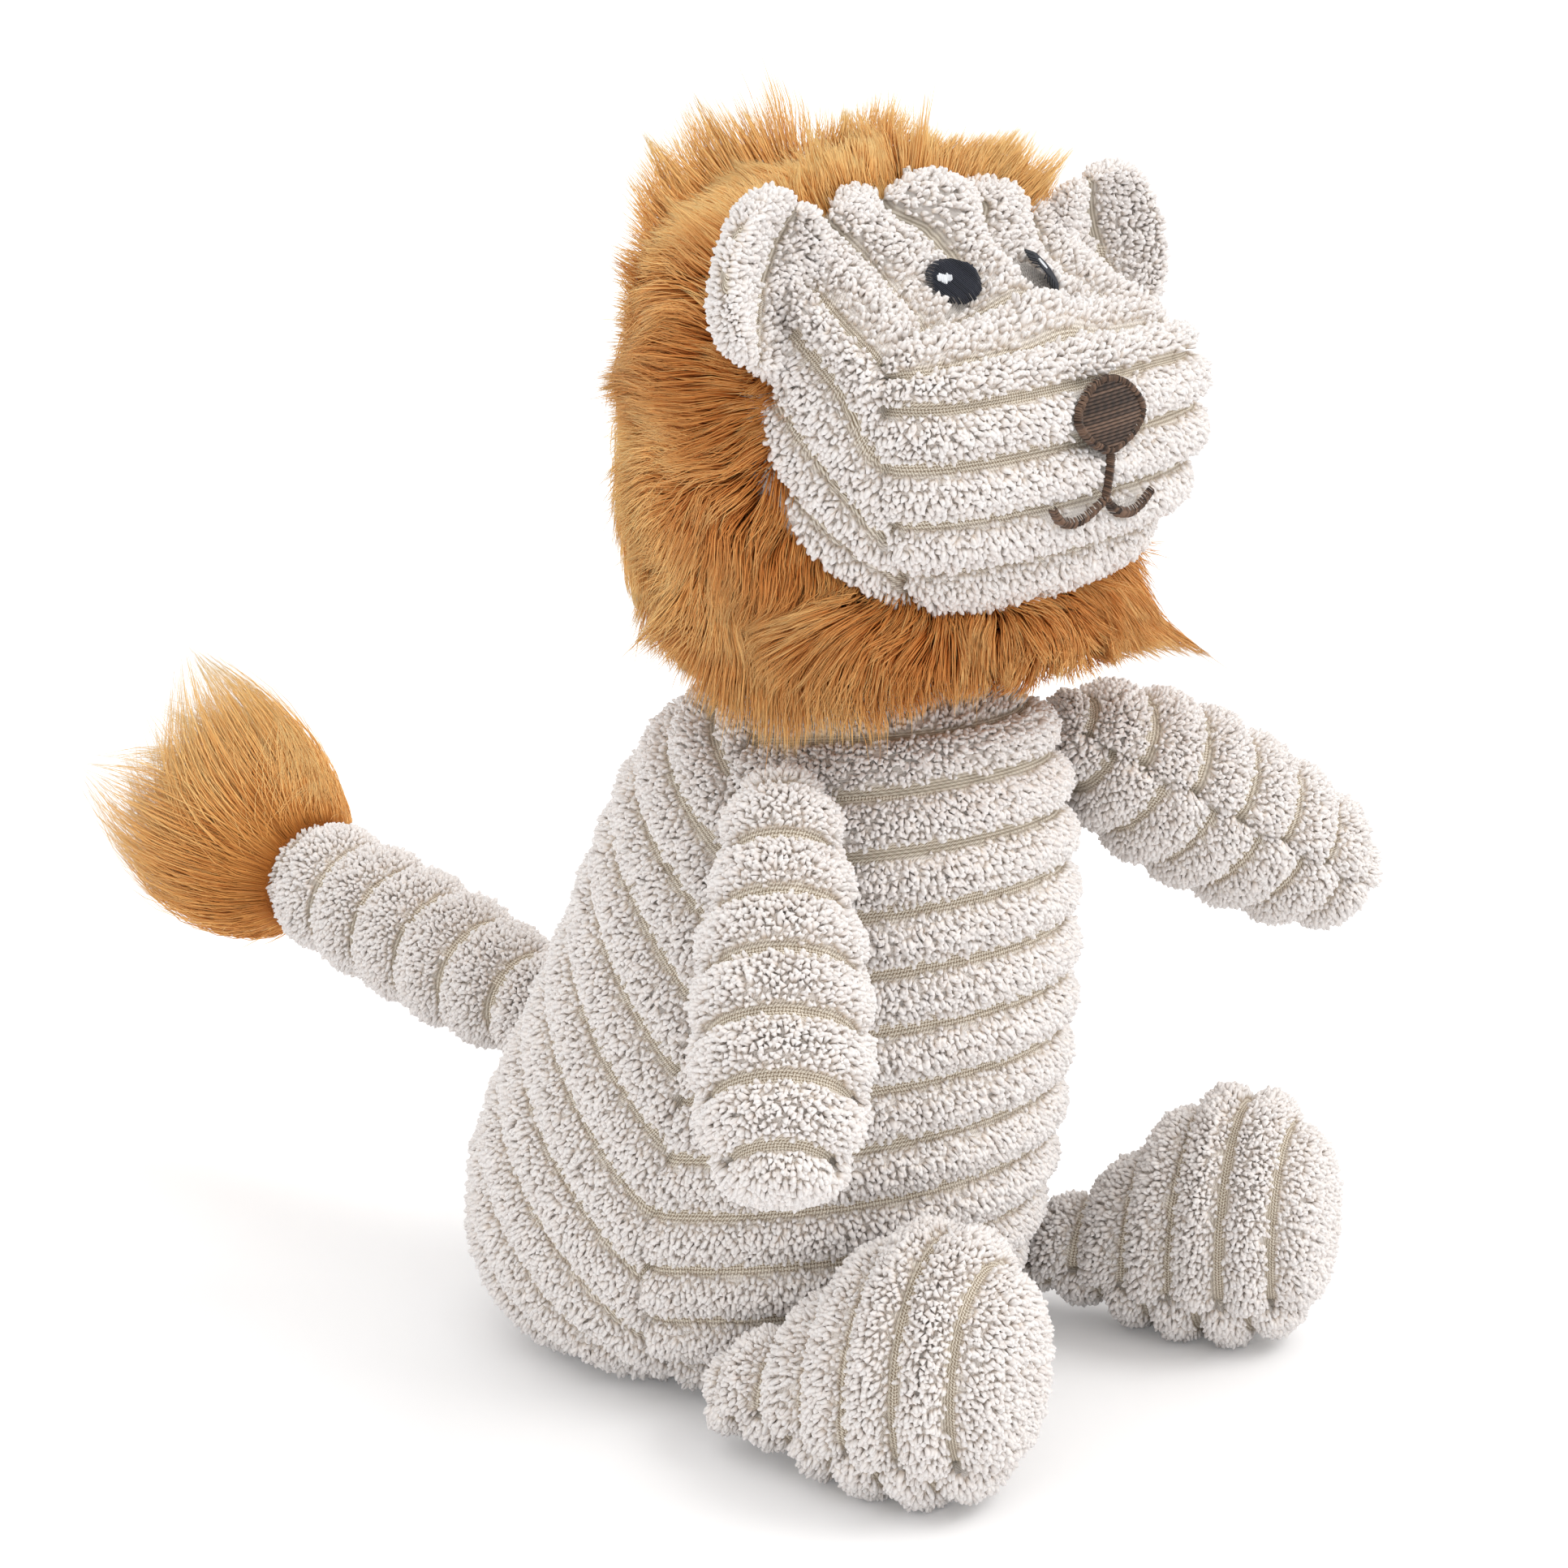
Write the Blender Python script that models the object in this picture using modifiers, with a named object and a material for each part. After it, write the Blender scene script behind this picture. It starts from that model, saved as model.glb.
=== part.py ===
"""Seated plush lion: ribbed plush skins over fibre stuffing, a long-pile mane and tail tuft, and an embroidered face.

The lion sits on the floor at z = 0 and faces -Y, so its own right side is at -X. All lengths are in metres.
"""

import math

import bmesh
import bpy
from mathutils import Matrix, Vector

MM = 0.001

# Cloth and the clearances between sewn pieces
SKIN_THICKNESS = 1.4 * MM
PIECE_GAP = 0.35 * MM
STUFFING_SLACK = 1.6 * MM
LIMB_STUFFING_SLACK = 1.2 * MM
FLOOR_CUT = 0.5 * MM
CUTTER_OVERRUN = 20.0 * MM

# Body: a pear that leans forward, cut level at the neck
BODY_HEIGHT = 139.8 * MM
BODY_HALF_WIDTH = 55.0 * MM
BODY_FRONT_REACH = 67.0 * MM
BODY_BACK_REACH = 58.5 * MM
BODY_WIDEST_SHARE = 0.43
BODY_SQUARENESS_SHARE = 2.25

# Each row: height, half width, front reach and back reach, as shares of the four body sizes
BODY_SECTION_SHARES = (
    (0.000, 0.60, 0.40, 0.58),
    (0.020, 0.80, 0.60, 0.80),
    (0.090, 0.94, 0.78, 0.95),
    (0.220, 1.00, 0.88, 0.985),
    (0.380, 0.97, 0.945, 0.85),
    (0.560, 0.90, 0.99, 0.59),
    (0.740, 0.82, 1.00, 0.42),
    (0.880, 0.73, 0.98, 0.27),
    (0.955, 0.61, 0.94, 0.14),
    (1.000, 0.46, 0.88, -0.05),
)

# Wide ribs of the plush, level round the body; each groove's level as a share of the body's height
BODY_RIB_DEPTH = 2.2 * MM
BODY_RIB_COUNT = 11
BODY_RIB_TOP_SHARE = 0.9013
BODY_RIB_PITCH_SHARE = 0.0801

# Head: a rounded wedge with a square muzzle, open at the neck
HEAD_HEIGHT = 91.5 * MM
HEAD_HALF_WIDTH = 47.0 * MM
HEAD_CENTRE_Y = -40.0 * MM
HEAD_FRONT_REACH = 42.6 * MM
HEAD_BACK_REACH = 44.0 * MM
HEAD_BACK_SQUARENESS_SHARE = 2.0

# Each row: height, half width, front reach and back reach as shares of the head sizes, then front squareness
HEAD_SECTION_SHARES = (
    (0.000, 0.54, 0.45, 0.84, 2.1),
    (0.140, 0.64, 0.58, 0.85, 2.3),
    (0.240, 0.85, 0.80, 0.88, 2.9),
    (0.360, 0.96, 0.96, 0.93, 3.8),
    (0.510, 1.00, 1.00, 1.00, 4.4),
    (0.650, 1.00, 0.98, 1.00, 4.4),
    (0.730, 0.99, 0.86, 0.96, 4.0),
    (0.800, 0.97, 0.40, 0.88, 3.2),
    (0.880, 0.90, 0.22, 0.76, 2.8),
    (0.955, 0.73, 0.13, 0.52, 2.5),
    (1.000, 0.36, 0.04, 0.22, 2.2),
)

# Mane: a long-pile cap round the back of the head, down to the shoulders
MANE_CROWN_PILE = 7.5 * MM
MANE_SIDE_PILE = 3.8 * MM
MANE_FRONT_PILE = 1.4 * MM
MANE_BACK_PILE = 3.0 * MM
MANE_SETBACK = 6.0 * MM
MANE_FRONT_SQUARENESS_SHARE = 3.0
MANE_BACK_SQUARENESS_SHARE = 2.2
MANE_SECTION_SHARES = (
    (0.000, 0.74, 0.88, 0.72),
    (0.070, 0.90, 1.00, 0.86),
    (0.160, 0.97, 0.88, 0.95),
    (0.280, 1.00, 0.54, 1.00),
    (0.450, 1.00, 0.46, 1.00),
    (0.640, 1.00, 0.43, 0.98),
    (0.780, 0.97, 0.30, 0.90),
    (0.890, 0.85, 0.14, 0.74),
    (0.965, 0.62, 0.06, 0.50),
    (1.000, 0.32, 0.02, 0.24),
)

# Ears: round flaps on the top corners of the head
EAR_RADIUS = 16.0 * MM
EAR_THICKNESS = 9.0 * MM
EAR_FORWARD = 6.0 * MM
EAR_HEIGHT_SHARE = 0.83443
EAR_LEAN_DEGREES = 8.0

# Arms: each pivots at the shoulder seam and swings in its own upright plane, turned out from straight ahead
SHOULDER_WIDTH_SHARE = 0.8
SHOULDER_REACH_SHARE = 0.68657
SHOULDER_HEIGHT_SHARE = 0.87268
ARM_ROOT_RADIUS = 11.5 * MM
ARM_LENGTH = 73.0 * MM
ARM_HALF_WIDTH = 16.5 * MM
ARM_HALF_DEPTH = 16.8 * MM
ARM_RIGHT_PLANE_DEGREES = 48.0
ARM_LEFT_PLANE_DEGREES = 62.0
ARM_RIGHT_DROP_DEGREES = 47.0
ARM_LEFT_DROP_DEGREES = 30.0
ARM_SECTION_SHARES = (
    (0.13, 0.71),
    (0.34, 0.95),
    (0.58, 1.00),
    (0.80, 0.94),
    (0.95, 0.66),
    (1.00, 0.30),
)

# Legs: each pivots at the hip seam and ends in a bulbous foot that stands on the floor
HIP_WIDTH_SHARE = 0.83636
HIP_REACH_SHARE = 0.59701
HIP_Z = 12.5 * MM
LEG_ROOT_RADIUS = 10.5 * MM
LEG_LENGTH = 57.5 * MM
FOOT_HALF_HEIGHT = 27.8 * MM
SOLE_SINK = 1.5 * MM
FOOT_HALF_WIDTH = 22.0 * MM
FOOT_LEVEL_SHARE = 0.58
LEG_RIGHT_SPLAY_DEGREES = -13.0
LEG_LEFT_SPLAY_DEGREES = 20.0
LEG_SECTION_SHARES = (
    (0.15, 0.50, 0.44),
    (0.35, 0.84, 0.80),
    (0.58, 1.00, 1.00),
    (0.80, 0.95, 0.95),
    (0.95, 0.66, 0.66),
    (1.00, 0.30, 0.30),
)

# Tail: a plush tube behind the seat, with a long-pile tuft on its end
TAIL_ROOT_REACH_SHARE = 0.94872
TAIL_ROOT_HEIGHT_SHARE = 0.37411
TAIL_ROOT_RADIUS = 11.5 * MM
TAIL_LENGTH = 88.0 * MM
TAIL_RADIUS = 15.0 * MM
TAIL_RISE_DEGREES = 12.0
TAIL_SECTION_SHARES = (
    (0.15, 0.86),
    (0.30, 1.00),
    (0.60, 1.00),
    (0.90, 0.97),
    (0.98, 0.84),
    (1.00, 0.52),
)
TUFT_LENGTH = 58.0 * MM
TUFT_RADIUS = 20.0 * MM
TUFT_LIFT = 13.0 * MM
TUFT_SECTION_SHARES = (
    (0.00, 0.40, 0.00),
    (0.05, 0.68, 0.00),
    (0.22, 0.94, 0.03),
    (0.45, 1.00, 0.15),
    (0.70, 0.84, 0.45),
    (0.92, 0.48, 0.85),
    (1.00, 0.18, 1.00),
)

# Embroidery: thread pads that follow the face
THREAD_THICKNESS = 0.9 * MM
EYE_HALF_WIDTH = 6.0 * MM
EYE_HALF_HEIGHT = 5.0 * MM
EYE_CENTRE_X = 12.6 * MM
EYE_HEIGHT_SHARE = 0.83224
EYE_PITCH_DEGREES = 35.0
GLINT_RADIUS = 1.2 * MM
GLINT_SHIFT = 2.0 * MM
GLINT_CLEARANCE = 0.3 * MM
NOSE_HALF_WIDTH = 10.0 * MM
NOSE_HEIGHT = 13.6 * MM
NOSE_HEIGHT_SHARE = 0.57541
NOSE_OUTLINE_SHARES = (
    (0.00, 0.50),
    (0.42, 0.45),
    (0.80, 0.26),
    (1.00, 0.00),
    (0.74, -0.26),
    (0.30, -0.44),
    (0.00, -0.50),
)
MOUTH_STROKE = 1.5 * MM
MOUTH_HALF_WIDTH = 14.2 * MM
MOUTH_LIFT = 3.7 * MM
PHILTRUM_HEIGHT = 7.5 * MM
MOUTH_OUTLINE_SHARES = ((0.00, 0.00), (0.20, -0.55), (0.38, -0.88), (0.60, -1.00), (0.82, -0.72), (1.00, -0.10))
FACE_DEPTH_SHARE = 0.65

# Fineness of the cages and outlines
BODY_SIDES = 12
HEAD_SIDES = 12
MANE_SIDES = 12
LIMB_SIDES = 6
ROOT_RING_DEGREES = (38.0, 72.0)
SOCKET_SEGMENTS = 16
EAR_SEGMENTS = 16
DISC_POINTS = 16
CURVE_STEPS = 3

# How far a cage point moves towards its two neighbours when it is smoothed once
SMOOTHING_SHARE = 0.25

# Finishes: colour, roughness
PLUSH_CREAM = ((0.80, 0.75, 0.68, 1.0), 0.95)
MANE_GINGER = ((0.62, 0.33, 0.10, 1.0), 0.85)
FIBRE_WHITE = ((0.90, 0.90, 0.88, 1.0), 1.0)
THREAD_BLACK = ((0.015, 0.015, 0.02, 1.0), 0.45)
THREAD_BROWN = ((0.09, 0.055, 0.04, 1.0), 0.5)
THREAD_WHITE = ((0.85, 0.87, 0.90, 1.0), 0.45)


def clear_scene():
    """Removes the startup objects."""
    for obj in list(bpy.data.objects):
        bpy.data.objects.remove(obj, do_unlink=True)


def new_collection(name):
    """A collection linked to the scene."""
    collection = bpy.data.collections.new(name)
    bpy.context.scene.collection.children.link(collection)
    return collection


def material(name, finish):
    """A Principled material from a (colour, roughness) finish."""
    found = bpy.data.materials.get(name)
    if found:
        return found
    made = bpy.data.materials.new(name)
    made.use_nodes = True
    shader = made.node_tree.nodes["Principled BSDF"]
    shader.inputs["Base Color"].default_value = finish[0]
    shader.inputs["Roughness"].default_value = finish[1]
    shader.inputs["Metallic"].default_value = 0.0
    return made


def add_object(name, mesh, collection, slot, finish):
    """An object for the mesh, with its material, in the collection."""
    obj = bpy.data.objects.new(name, mesh)
    collection.objects.link(obj)
    mesh.materials.append(material(slot, finish))
    return obj


def add_cutter(name, mesh, cutters):
    """A hidden wire object that only cuts others."""
    obj = bpy.data.objects.new(name, mesh)
    cutters.objects.link(obj)
    obj.hide_render = True
    obj.display_type = "WIRE"
    return obj


def power(value, exponent):
    """value raised to exponent, with its sign kept."""
    return math.copysign(abs(value) ** exponent, value)


def cage_scale(sides):
    """How much wider than its smoothed section a round cage of so many sides has to be."""
    return 1 / (1 - SMOOTHING_SHARE * (1 - math.cos(2 * math.pi / sides)))


def level_ring(z, half_width, centre_y, front_reach, back_reach, front_squareness, back_squareness, sides):
    """Points round one level section, whose front and back halves meet at centre_y, where it is widest."""
    points = []
    for i in range(sides):
        angle = 2 * math.pi * i / sides
        back = math.sin(angle) > 0
        squareness = back_squareness if back else front_squareness
        reach = back_reach if back else front_reach
        x = half_width * power(math.cos(angle), 2 / squareness)
        y = reach * power(math.sin(angle), 2 / squareness)
        points.append(Vector((x, centre_y + y, z)))
    return points


def loft(rings, cap_start, cap_end):
    """A mesh through rings of equally many points, facing out, with the ends capped on request."""
    bm = bmesh.new()
    rows = [[bm.verts.new(point) for point in ring] for ring in rings]
    sides = len(rings[0])
    for lower, upper in zip(rows, rows[1:]):
        for i in range(sides):
            j = (i + 1) % sides
            bm.faces.new((lower[i], lower[j], upper[j], upper[i]))
    if cap_start:
        bm.faces.new(list(reversed(rows[0])))
    if cap_end:
        bm.faces.new(rows[-1])
    mesh = bpy.data.meshes.new("loft")
    bm.to_mesh(mesh)
    bm.free()
    mesh.shade_smooth()
    return mesh


def subdivide(obj, levels=1):
    """Adds a Subdivision Surface modifier that renders as it shows."""
    modifier = obj.modifiers.new("soft form", "SUBSURF")
    modifier.levels = levels
    modifier.render_levels = levels


def make_shell(obj):
    """Gives an open surface its cloth thickness, inwards."""
    modifier = obj.modifiers.new("cloth thickness", "SOLIDIFY")
    modifier.thickness = SKIN_THICKNESS
    modifier.offset = -1.0
    modifier.use_even_offset = True


def cut(obj, cutter, operation="DIFFERENCE"):
    """Adds a Boolean with the exact solver."""
    modifier = obj.modifiers.new(operation.lower(), "BOOLEAN")
    modifier.object = cutter
    modifier.operation = operation
    modifier.solver = "EXACT"


def floor_cutter(cutters):
    """A slab under z = 0 that cuts flat whatever stands on the floor."""
    bm = bmesh.new()
    bmesh.ops.create_cube(bm, size=1.0)
    span = 6 * BODY_HALF_WIDTH
    bmesh.ops.scale(bm, vec=(span, span, CUTTER_OVERRUN), verts=bm.verts)
    bmesh.ops.translate(bm, vec=(0, 0, -CUTTER_OVERRUN / 2), verts=bm.verts)
    mesh = bpy.data.meshes.new("floor_slab")
    bm.to_mesh(mesh)
    bm.free()
    return add_cutter("floor_slab", mesh, cutters)


def socket_cutter(name, centre, radius, cutters):
    """A ball whose facets all lie outside the root of a limb, with a running gap."""
    bm = bmesh.new()
    facet_share = math.cos(math.pi / SOCKET_SEGMENTS)
    reach = (radius + PIECE_GAP) / facet_share**2
    rows = SOCKET_SEGMENTS // 2
    bmesh.ops.create_uvsphere(bm, u_segments=SOCKET_SEGMENTS, v_segments=rows, radius=reach)
    bmesh.ops.translate(bm, vec=centre, verts=bm.verts)
    mesh = bpy.data.meshes.new(name)
    bm.to_mesh(mesh)
    bm.free()
    return add_cutter(name, mesh, cutters)


def section_at(rows, height):
    """A row of a section table at any height, straight between its neighbours."""
    for low, high in zip(rows, rows[1:]):
        if height <= high[0]:
            share = (height - low[0]) / (high[0] - low[0])
            return tuple(a + (b - a) * share for a, b in zip(low, high))
    return rows[-1]


def body_rows():
    """The body's sections, each with how far a rib's groove or crest moves it in before it is smoothed."""
    rows = [(row, 0.0) for row in BODY_SECTION_SHARES[:2]]
    for step in range(2 * BODY_RIB_COUNT, -2, -1):
        height = BODY_RIB_TOP_SHARE - BODY_RIB_PITCH_SHARE * step / 2
        drop = -BODY_RIB_DEPTH / 2 if step % 2 else BODY_RIB_DEPTH * 1.5
        if height > BODY_SECTION_SHARES[1][0] + BODY_RIB_PITCH_SHARE / 4:
            rows.append((section_at(BODY_SECTION_SHARES, height), drop))
    return rows + [(BODY_SECTION_SHARES[-1], 0.0)]


def body_rings(inset=0.0):
    """Level sections of the body, drawn in by inset on every side but the neck; what fills it stays out of the crests."""
    scale = cage_scale(BODY_SIDES)
    rings = []
    for (height, width, front, back), drop in body_rows():
        if inset > 0:
            drop = max(drop, 0.0)
        z = -FLOOR_CUT + (BODY_HEIGHT + FLOOR_CUT) * height
        front_y = -BODY_FRONT_REACH * front
        back_y = BODY_BACK_REACH * back
        centre_y = back_y + (front_y - back_y) * BODY_WIDEST_SHARE
        rings.append(
            level_ring(
                max(z, -FLOOR_CUT + inset),
                (BODY_HALF_WIDTH * width - inset - drop) * scale,
                centre_y,
                (centre_y - front_y - inset - drop) * scale,
                (back_y - centre_y - inset - drop) * scale,
                BODY_SQUARENESS_SHARE,
                BODY_SQUARENESS_SHARE,
                BODY_SIDES,
            )
        )
    return rings


def head_base():
    """The level of the neck's upper side."""
    return BODY_HEIGHT + PIECE_GAP


def head_level(share):
    """A level on the head, as a share of its height."""
    return head_base() + HEAD_HEIGHT * share


def hip_point(sign):
    """Where a leg pivots, inside the body's front corner."""
    return Vector((sign * BODY_HALF_WIDTH * HIP_WIDTH_SHARE, -BODY_FRONT_REACH * HIP_REACH_SHARE, HIP_Z))


def shoulder_point(sign):
    """Where an arm pivots, just under the neck."""
    return Vector(
        (
            sign * BODY_HALF_WIDTH * SHOULDER_WIDTH_SHARE,
            -BODY_FRONT_REACH * SHOULDER_REACH_SHARE,
            BODY_HEIGHT * SHOULDER_HEIGHT_SHARE,
        )
    )


def tail_point():
    """Where the tail pivots, on the middle of the body's back."""
    return Vector((0.0, BODY_BACK_REACH * TAIL_ROOT_REACH_SHARE, BODY_HEIGHT * TAIL_ROOT_HEIGHT_SHARE))


def head_rings(inset=0.0):
    """Level sections of the head, drawn in by inset on every side but the neck; a negative inset grows it."""
    scale = cage_scale(HEAD_SIDES)
    rings = []
    for height, width, front, back, squareness in HEAD_SECTION_SHARES:
        rings.append(
            level_ring(
                head_base() + (HEAD_HEIGHT - inset) * height,
                (HEAD_HALF_WIDTH * width - inset) * scale,
                HEAD_CENTRE_Y,
                (HEAD_FRONT_REACH * front - inset) * scale,
                (HEAD_BACK_REACH * back - inset) * scale,
                squareness,
                HEAD_BACK_SQUARENESS_SHARE,
                HEAD_SIDES,
            )
        )
    return rings


def mane_rings():
    """Level sections of the mane's outer form, a pile's length outside the head's."""
    scale = cage_scale(MANE_SIDES)
    rings = []
    for height, width, front, back in MANE_SECTION_SHARES:
        rings.append(
            level_ring(
                head_base() + (HEAD_HEIGHT + MANE_CROWN_PILE) * height,
                (HEAD_HALF_WIDTH + MANE_SIDE_PILE) * width * scale,
                HEAD_CENTRE_Y + MANE_SETBACK,
                (HEAD_FRONT_REACH + MANE_FRONT_PILE) * front * scale,
                (HEAD_BACK_REACH + MANE_BACK_PILE) * back * scale,
                MANE_FRONT_SQUARENESS_SHARE,
                MANE_BACK_SQUARENESS_SHARE,
                MANE_SIDES,
            )
        )
    return rings


def limb_rings(frame, root_radius, sections, inset=0.0):
    """Rings along a limb's own +X, from a ball round its pivot to its tip.

    sections holds (along, half width, half height, lift) in lengths, measured in the limb's own frame.
    """
    scale = cage_scale(LIMB_SIDES)
    rings = []
    radius = root_radius - inset
    for degrees in ROOT_RING_DEGREES:
        angle = math.radians(degrees)
        rings.append((-radius * math.cos(angle), radius * math.sin(angle), radius * math.sin(angle), 0.0))
    last = sections[-1][0]
    for along, half_width, half_height, lift in sections:
        rings.append((min(along, last - inset), half_width - inset, half_height - inset, lift))
    placed = []
    for along, half_width, half_height, lift in rings:
        ring = []
        for i in range(LIMB_SIDES):
            angle = 2 * math.pi * (i + 0.5) / LIMB_SIDES
            across = half_width * math.cos(angle) * scale
            up = lift + half_height * math.sin(angle) * scale
            ring.append(frame @ Vector((along, across, up)))
        placed.append(ring)
    return placed


def limb_frame(origin, heading_degrees, rise_degrees):
    """A frame at origin whose +X points along heading, turned from -Y towards +X, and up by rise."""
    heading = Matrix.Rotation(math.radians(heading_degrees - 90.0), 4, "Z")
    rise = Matrix.Rotation(math.radians(-rise_degrees), 4, "Y")
    return Matrix.Translation(origin) @ heading @ rise


def add_skin(name, rings, parts):
    """An open plush shell through the rings, closed at its far end."""
    obj = add_object(name, loft(rings, False, True), parts, "plush", PLUSH_CREAM)
    subdivide(obj)
    make_shell(obj)
    return obj


def add_stuffing(name, rings, parts):
    """The closed fibre core of a skin."""
    obj = add_object(name, loft(rings, True, True), parts, "stuffing", FIBRE_WHITE)
    subdivide(obj)
    return obj


def limb_sections(length, half_width, half_height, shares):
    """(along, half width, half height, lift) rows of a round limb from (along, size) shares."""
    return [(length * along, half_width * size, half_height * size, 0.0) for along, size in shares]


def add_limb(name, frame, root_radius, sections, parts):
    """A limb's skin and its stuffing."""
    inset = SKIN_THICKNESS + LIMB_STUFFING_SLACK
    skin = add_skin(f"{name}_skin", limb_rings(frame, root_radius, sections), parts)
    core = add_stuffing(f"{name}_stuffing", limb_rings(frame, root_radius, sections, inset), parts)
    return skin, core


def build_arm(side, sign, plane_degrees, drop_degrees, parts):
    """One arm, with its pivot on the shoulder seam."""
    pivot = shoulder_point(sign)
    frame = limb_frame(pivot, sign * plane_degrees, -drop_degrees)
    sections = limb_sections(ARM_LENGTH, ARM_HALF_WIDTH, ARM_HALF_DEPTH, ARM_SECTION_SHARES)
    return pivot, add_limb(f"arm_{side}", frame, ARM_ROOT_RADIUS, sections, parts)


def leg_sections():
    """Rows of a leg whose underside comes down to the floor where the foot is largest."""
    rows = []
    for along, width, height in LEG_SECTION_SHARES:
        level = FOOT_HALF_HEIGHT - SOLE_SINK - HIP_Z
        lift = level * min(1, along / FOOT_LEVEL_SHARE)
        rows.append((LEG_LENGTH * along, FOOT_HALF_WIDTH * width, FOOT_HALF_HEIGHT * height, lift))
    return rows


def build_leg(side, sign, splay_degrees, parts, floor):
    """One leg, with its pivot on the hip seam, cut flat where the foot stands."""
    pivot = hip_point(sign)
    frame = limb_frame(pivot, sign * splay_degrees, 0.0)
    skin, core = add_limb(f"leg_{side}", frame, LEG_ROOT_RADIUS, leg_sections(), parts)
    cut(skin, floor)
    return pivot, (skin, core)


def build_tail(parts):
    """The tail, and the tuft on its end."""
    pivot = tail_point()
    frame = limb_frame(pivot, 180.0, TAIL_RISE_DEGREES)
    sections = limb_sections(TAIL_LENGTH, TAIL_RADIUS, TAIL_RADIUS, TAIL_SECTION_SHARES)
    skin, core = add_limb("tail", frame, TAIL_ROOT_RADIUS, sections, parts)
    scale = cage_scale(LIMB_SIDES)
    start = TAIL_LENGTH + PIECE_GAP
    rings = []
    for along, size, lift in TUFT_SECTION_SHARES:
        ring = []
        for i in range(LIMB_SIDES):
            angle = 2 * math.pi * (i + 0.5) / LIMB_SIDES
            across = TUFT_RADIUS * size * math.cos(angle) * scale
            up = TUFT_LIFT * lift + TUFT_RADIUS * size * math.sin(angle) * scale
            ring.append(frame @ Vector((start + TUFT_LENGTH * along, across, up)))
        rings.append(ring)
    tuft = add_object("tail_tuft", loft(rings, True, True), parts, "mane_fur", MANE_GINGER)
    subdivide(tuft)
    return pivot, (skin, core, tuft)


def build_body(parts, floor, sockets):
    """The body's skin and stuffing, with a hollow for the root of each limb."""
    skin = add_object("body_skin", loft(body_rings(), True, False), parts, "plush", PLUSH_CREAM)
    subdivide(skin)
    make_shell(skin)
    cut(skin, floor)
    core = add_stuffing("body_stuffing", body_rings(SKIN_THICKNESS + STUFFING_SLACK), parts)
    for socket in sockets:
        cut(skin, socket)
        cut(core, socket)


def ear_mesh(sign, grow=0.0):
    """A round, slightly domed flap, upright across the head."""
    bm = bmesh.new()
    bmesh.ops.create_uvsphere(bm, u_segments=EAR_SEGMENTS, v_segments=EAR_SEGMENTS // 2, radius=1.0)
    size = (EAR_RADIUS + grow, EAR_THICKNESS / 2 + grow, EAR_RADIUS + grow)
    bmesh.ops.scale(bm, vec=size, verts=bm.verts)
    lean = Matrix.Rotation(math.radians(-sign * EAR_LEAN_DEGREES), 3, "Z")
    bmesh.ops.rotate(bm, cent=(0, 0, 0), matrix=lean, verts=bm.verts)
    centre = (sign * HEAD_HALF_WIDTH, HEAD_CENTRE_Y - EAR_FORWARD, head_level(EAR_HEIGHT_SHARE))
    bmesh.ops.translate(bm, vec=centre, verts=bm.verts)
    mesh = bpy.data.meshes.new("ear")
    bm.to_mesh(mesh)
    bm.free()
    mesh.shade_smooth()
    return mesh


def head_cutter(name, grow, cutters):
    """The head's outer form, grown by grow and run down past the neck, for trimming what lies on it."""
    rings = head_rings(-grow)
    foot = [point - Vector((0, 0, CUTTER_OVERRUN)) for point in rings[0]]
    obj = add_cutter(name, loft([foot] + rings, True, True), cutters)
    subdivide(obj)
    return obj


def prism(name, outline, frame, depth, cutters):
    """A closed prism of the flat outline, run through the face along the frame's +Z."""
    bm = bmesh.new()
    low = [bm.verts.new(frame @ Vector((x, y, -depth))) for x, y in outline]
    high = [bm.verts.new(frame @ Vector((x, y, depth))) for x, y in outline]
    count = len(outline)
    for i in range(count):
        j = (i + 1) % count
        bm.faces.new((low[i], low[j], high[j], high[i]))
    bm.faces.new(list(reversed(low)))
    bm.faces.new(high)
    bmesh.ops.recalc_face_normals(bm, faces=bm.faces)
    mesh = bpy.data.meshes.new(name)
    bm.to_mesh(mesh)
    bm.free()
    return add_cutter(name, mesh, cutters)


def ellipse_outline(half_width, half_height, centre=(0.0, 0.0)):
    """Points round an ellipse."""
    turns = [2 * math.pi * i / DISC_POINTS for i in range(DISC_POINTS)]
    return [(centre[0] + half_width * math.cos(t), centre[1] + half_height * math.sin(t)) for t in turns]


def curve_value(p, q, r, s, t):
    """A Catmull-Rom curve's value at t of the way from q to r."""
    slope = r - p
    bend = 2 * p - 5 * q + 4 * r - s
    twist = 3 * q - p - 3 * r + s
    return (2 * q + slope * t + bend * t**2 + twist * t**3) / 2


def smooth_curve(points):
    """Points along a Catmull-Rom curve through the given ones."""
    ends = [points[0]] + list(points) + [points[-1]]
    made = []
    for a, b, c, d in zip(ends, ends[1:], ends[2:], ends[3:]):
        for i in range(CURVE_STEPS):
            made.append(tuple(curve_value(*values, i / CURVE_STEPS) for values in zip(a, b, c, d)))
    made.append(tuple(points[-1]))
    return made


def stroke_outline(path, width):
    """The outline of a stroke of the given width along a flat path."""
    left, right = [], []
    for i, point in enumerate(path):
        before, after = path[max(i - 1, 0)], path[min(i + 1, len(path) - 1)]
        way = Vector((after[0] - before[0], after[1] - before[1])).normalized()
        side = Vector((-way.y, way.x)) * width / 2
        left.append((point[0] + side.x, point[1] + side.y))
        right.append((point[0] - side.x, point[1] - side.y))
    return left + right[::-1]


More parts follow.
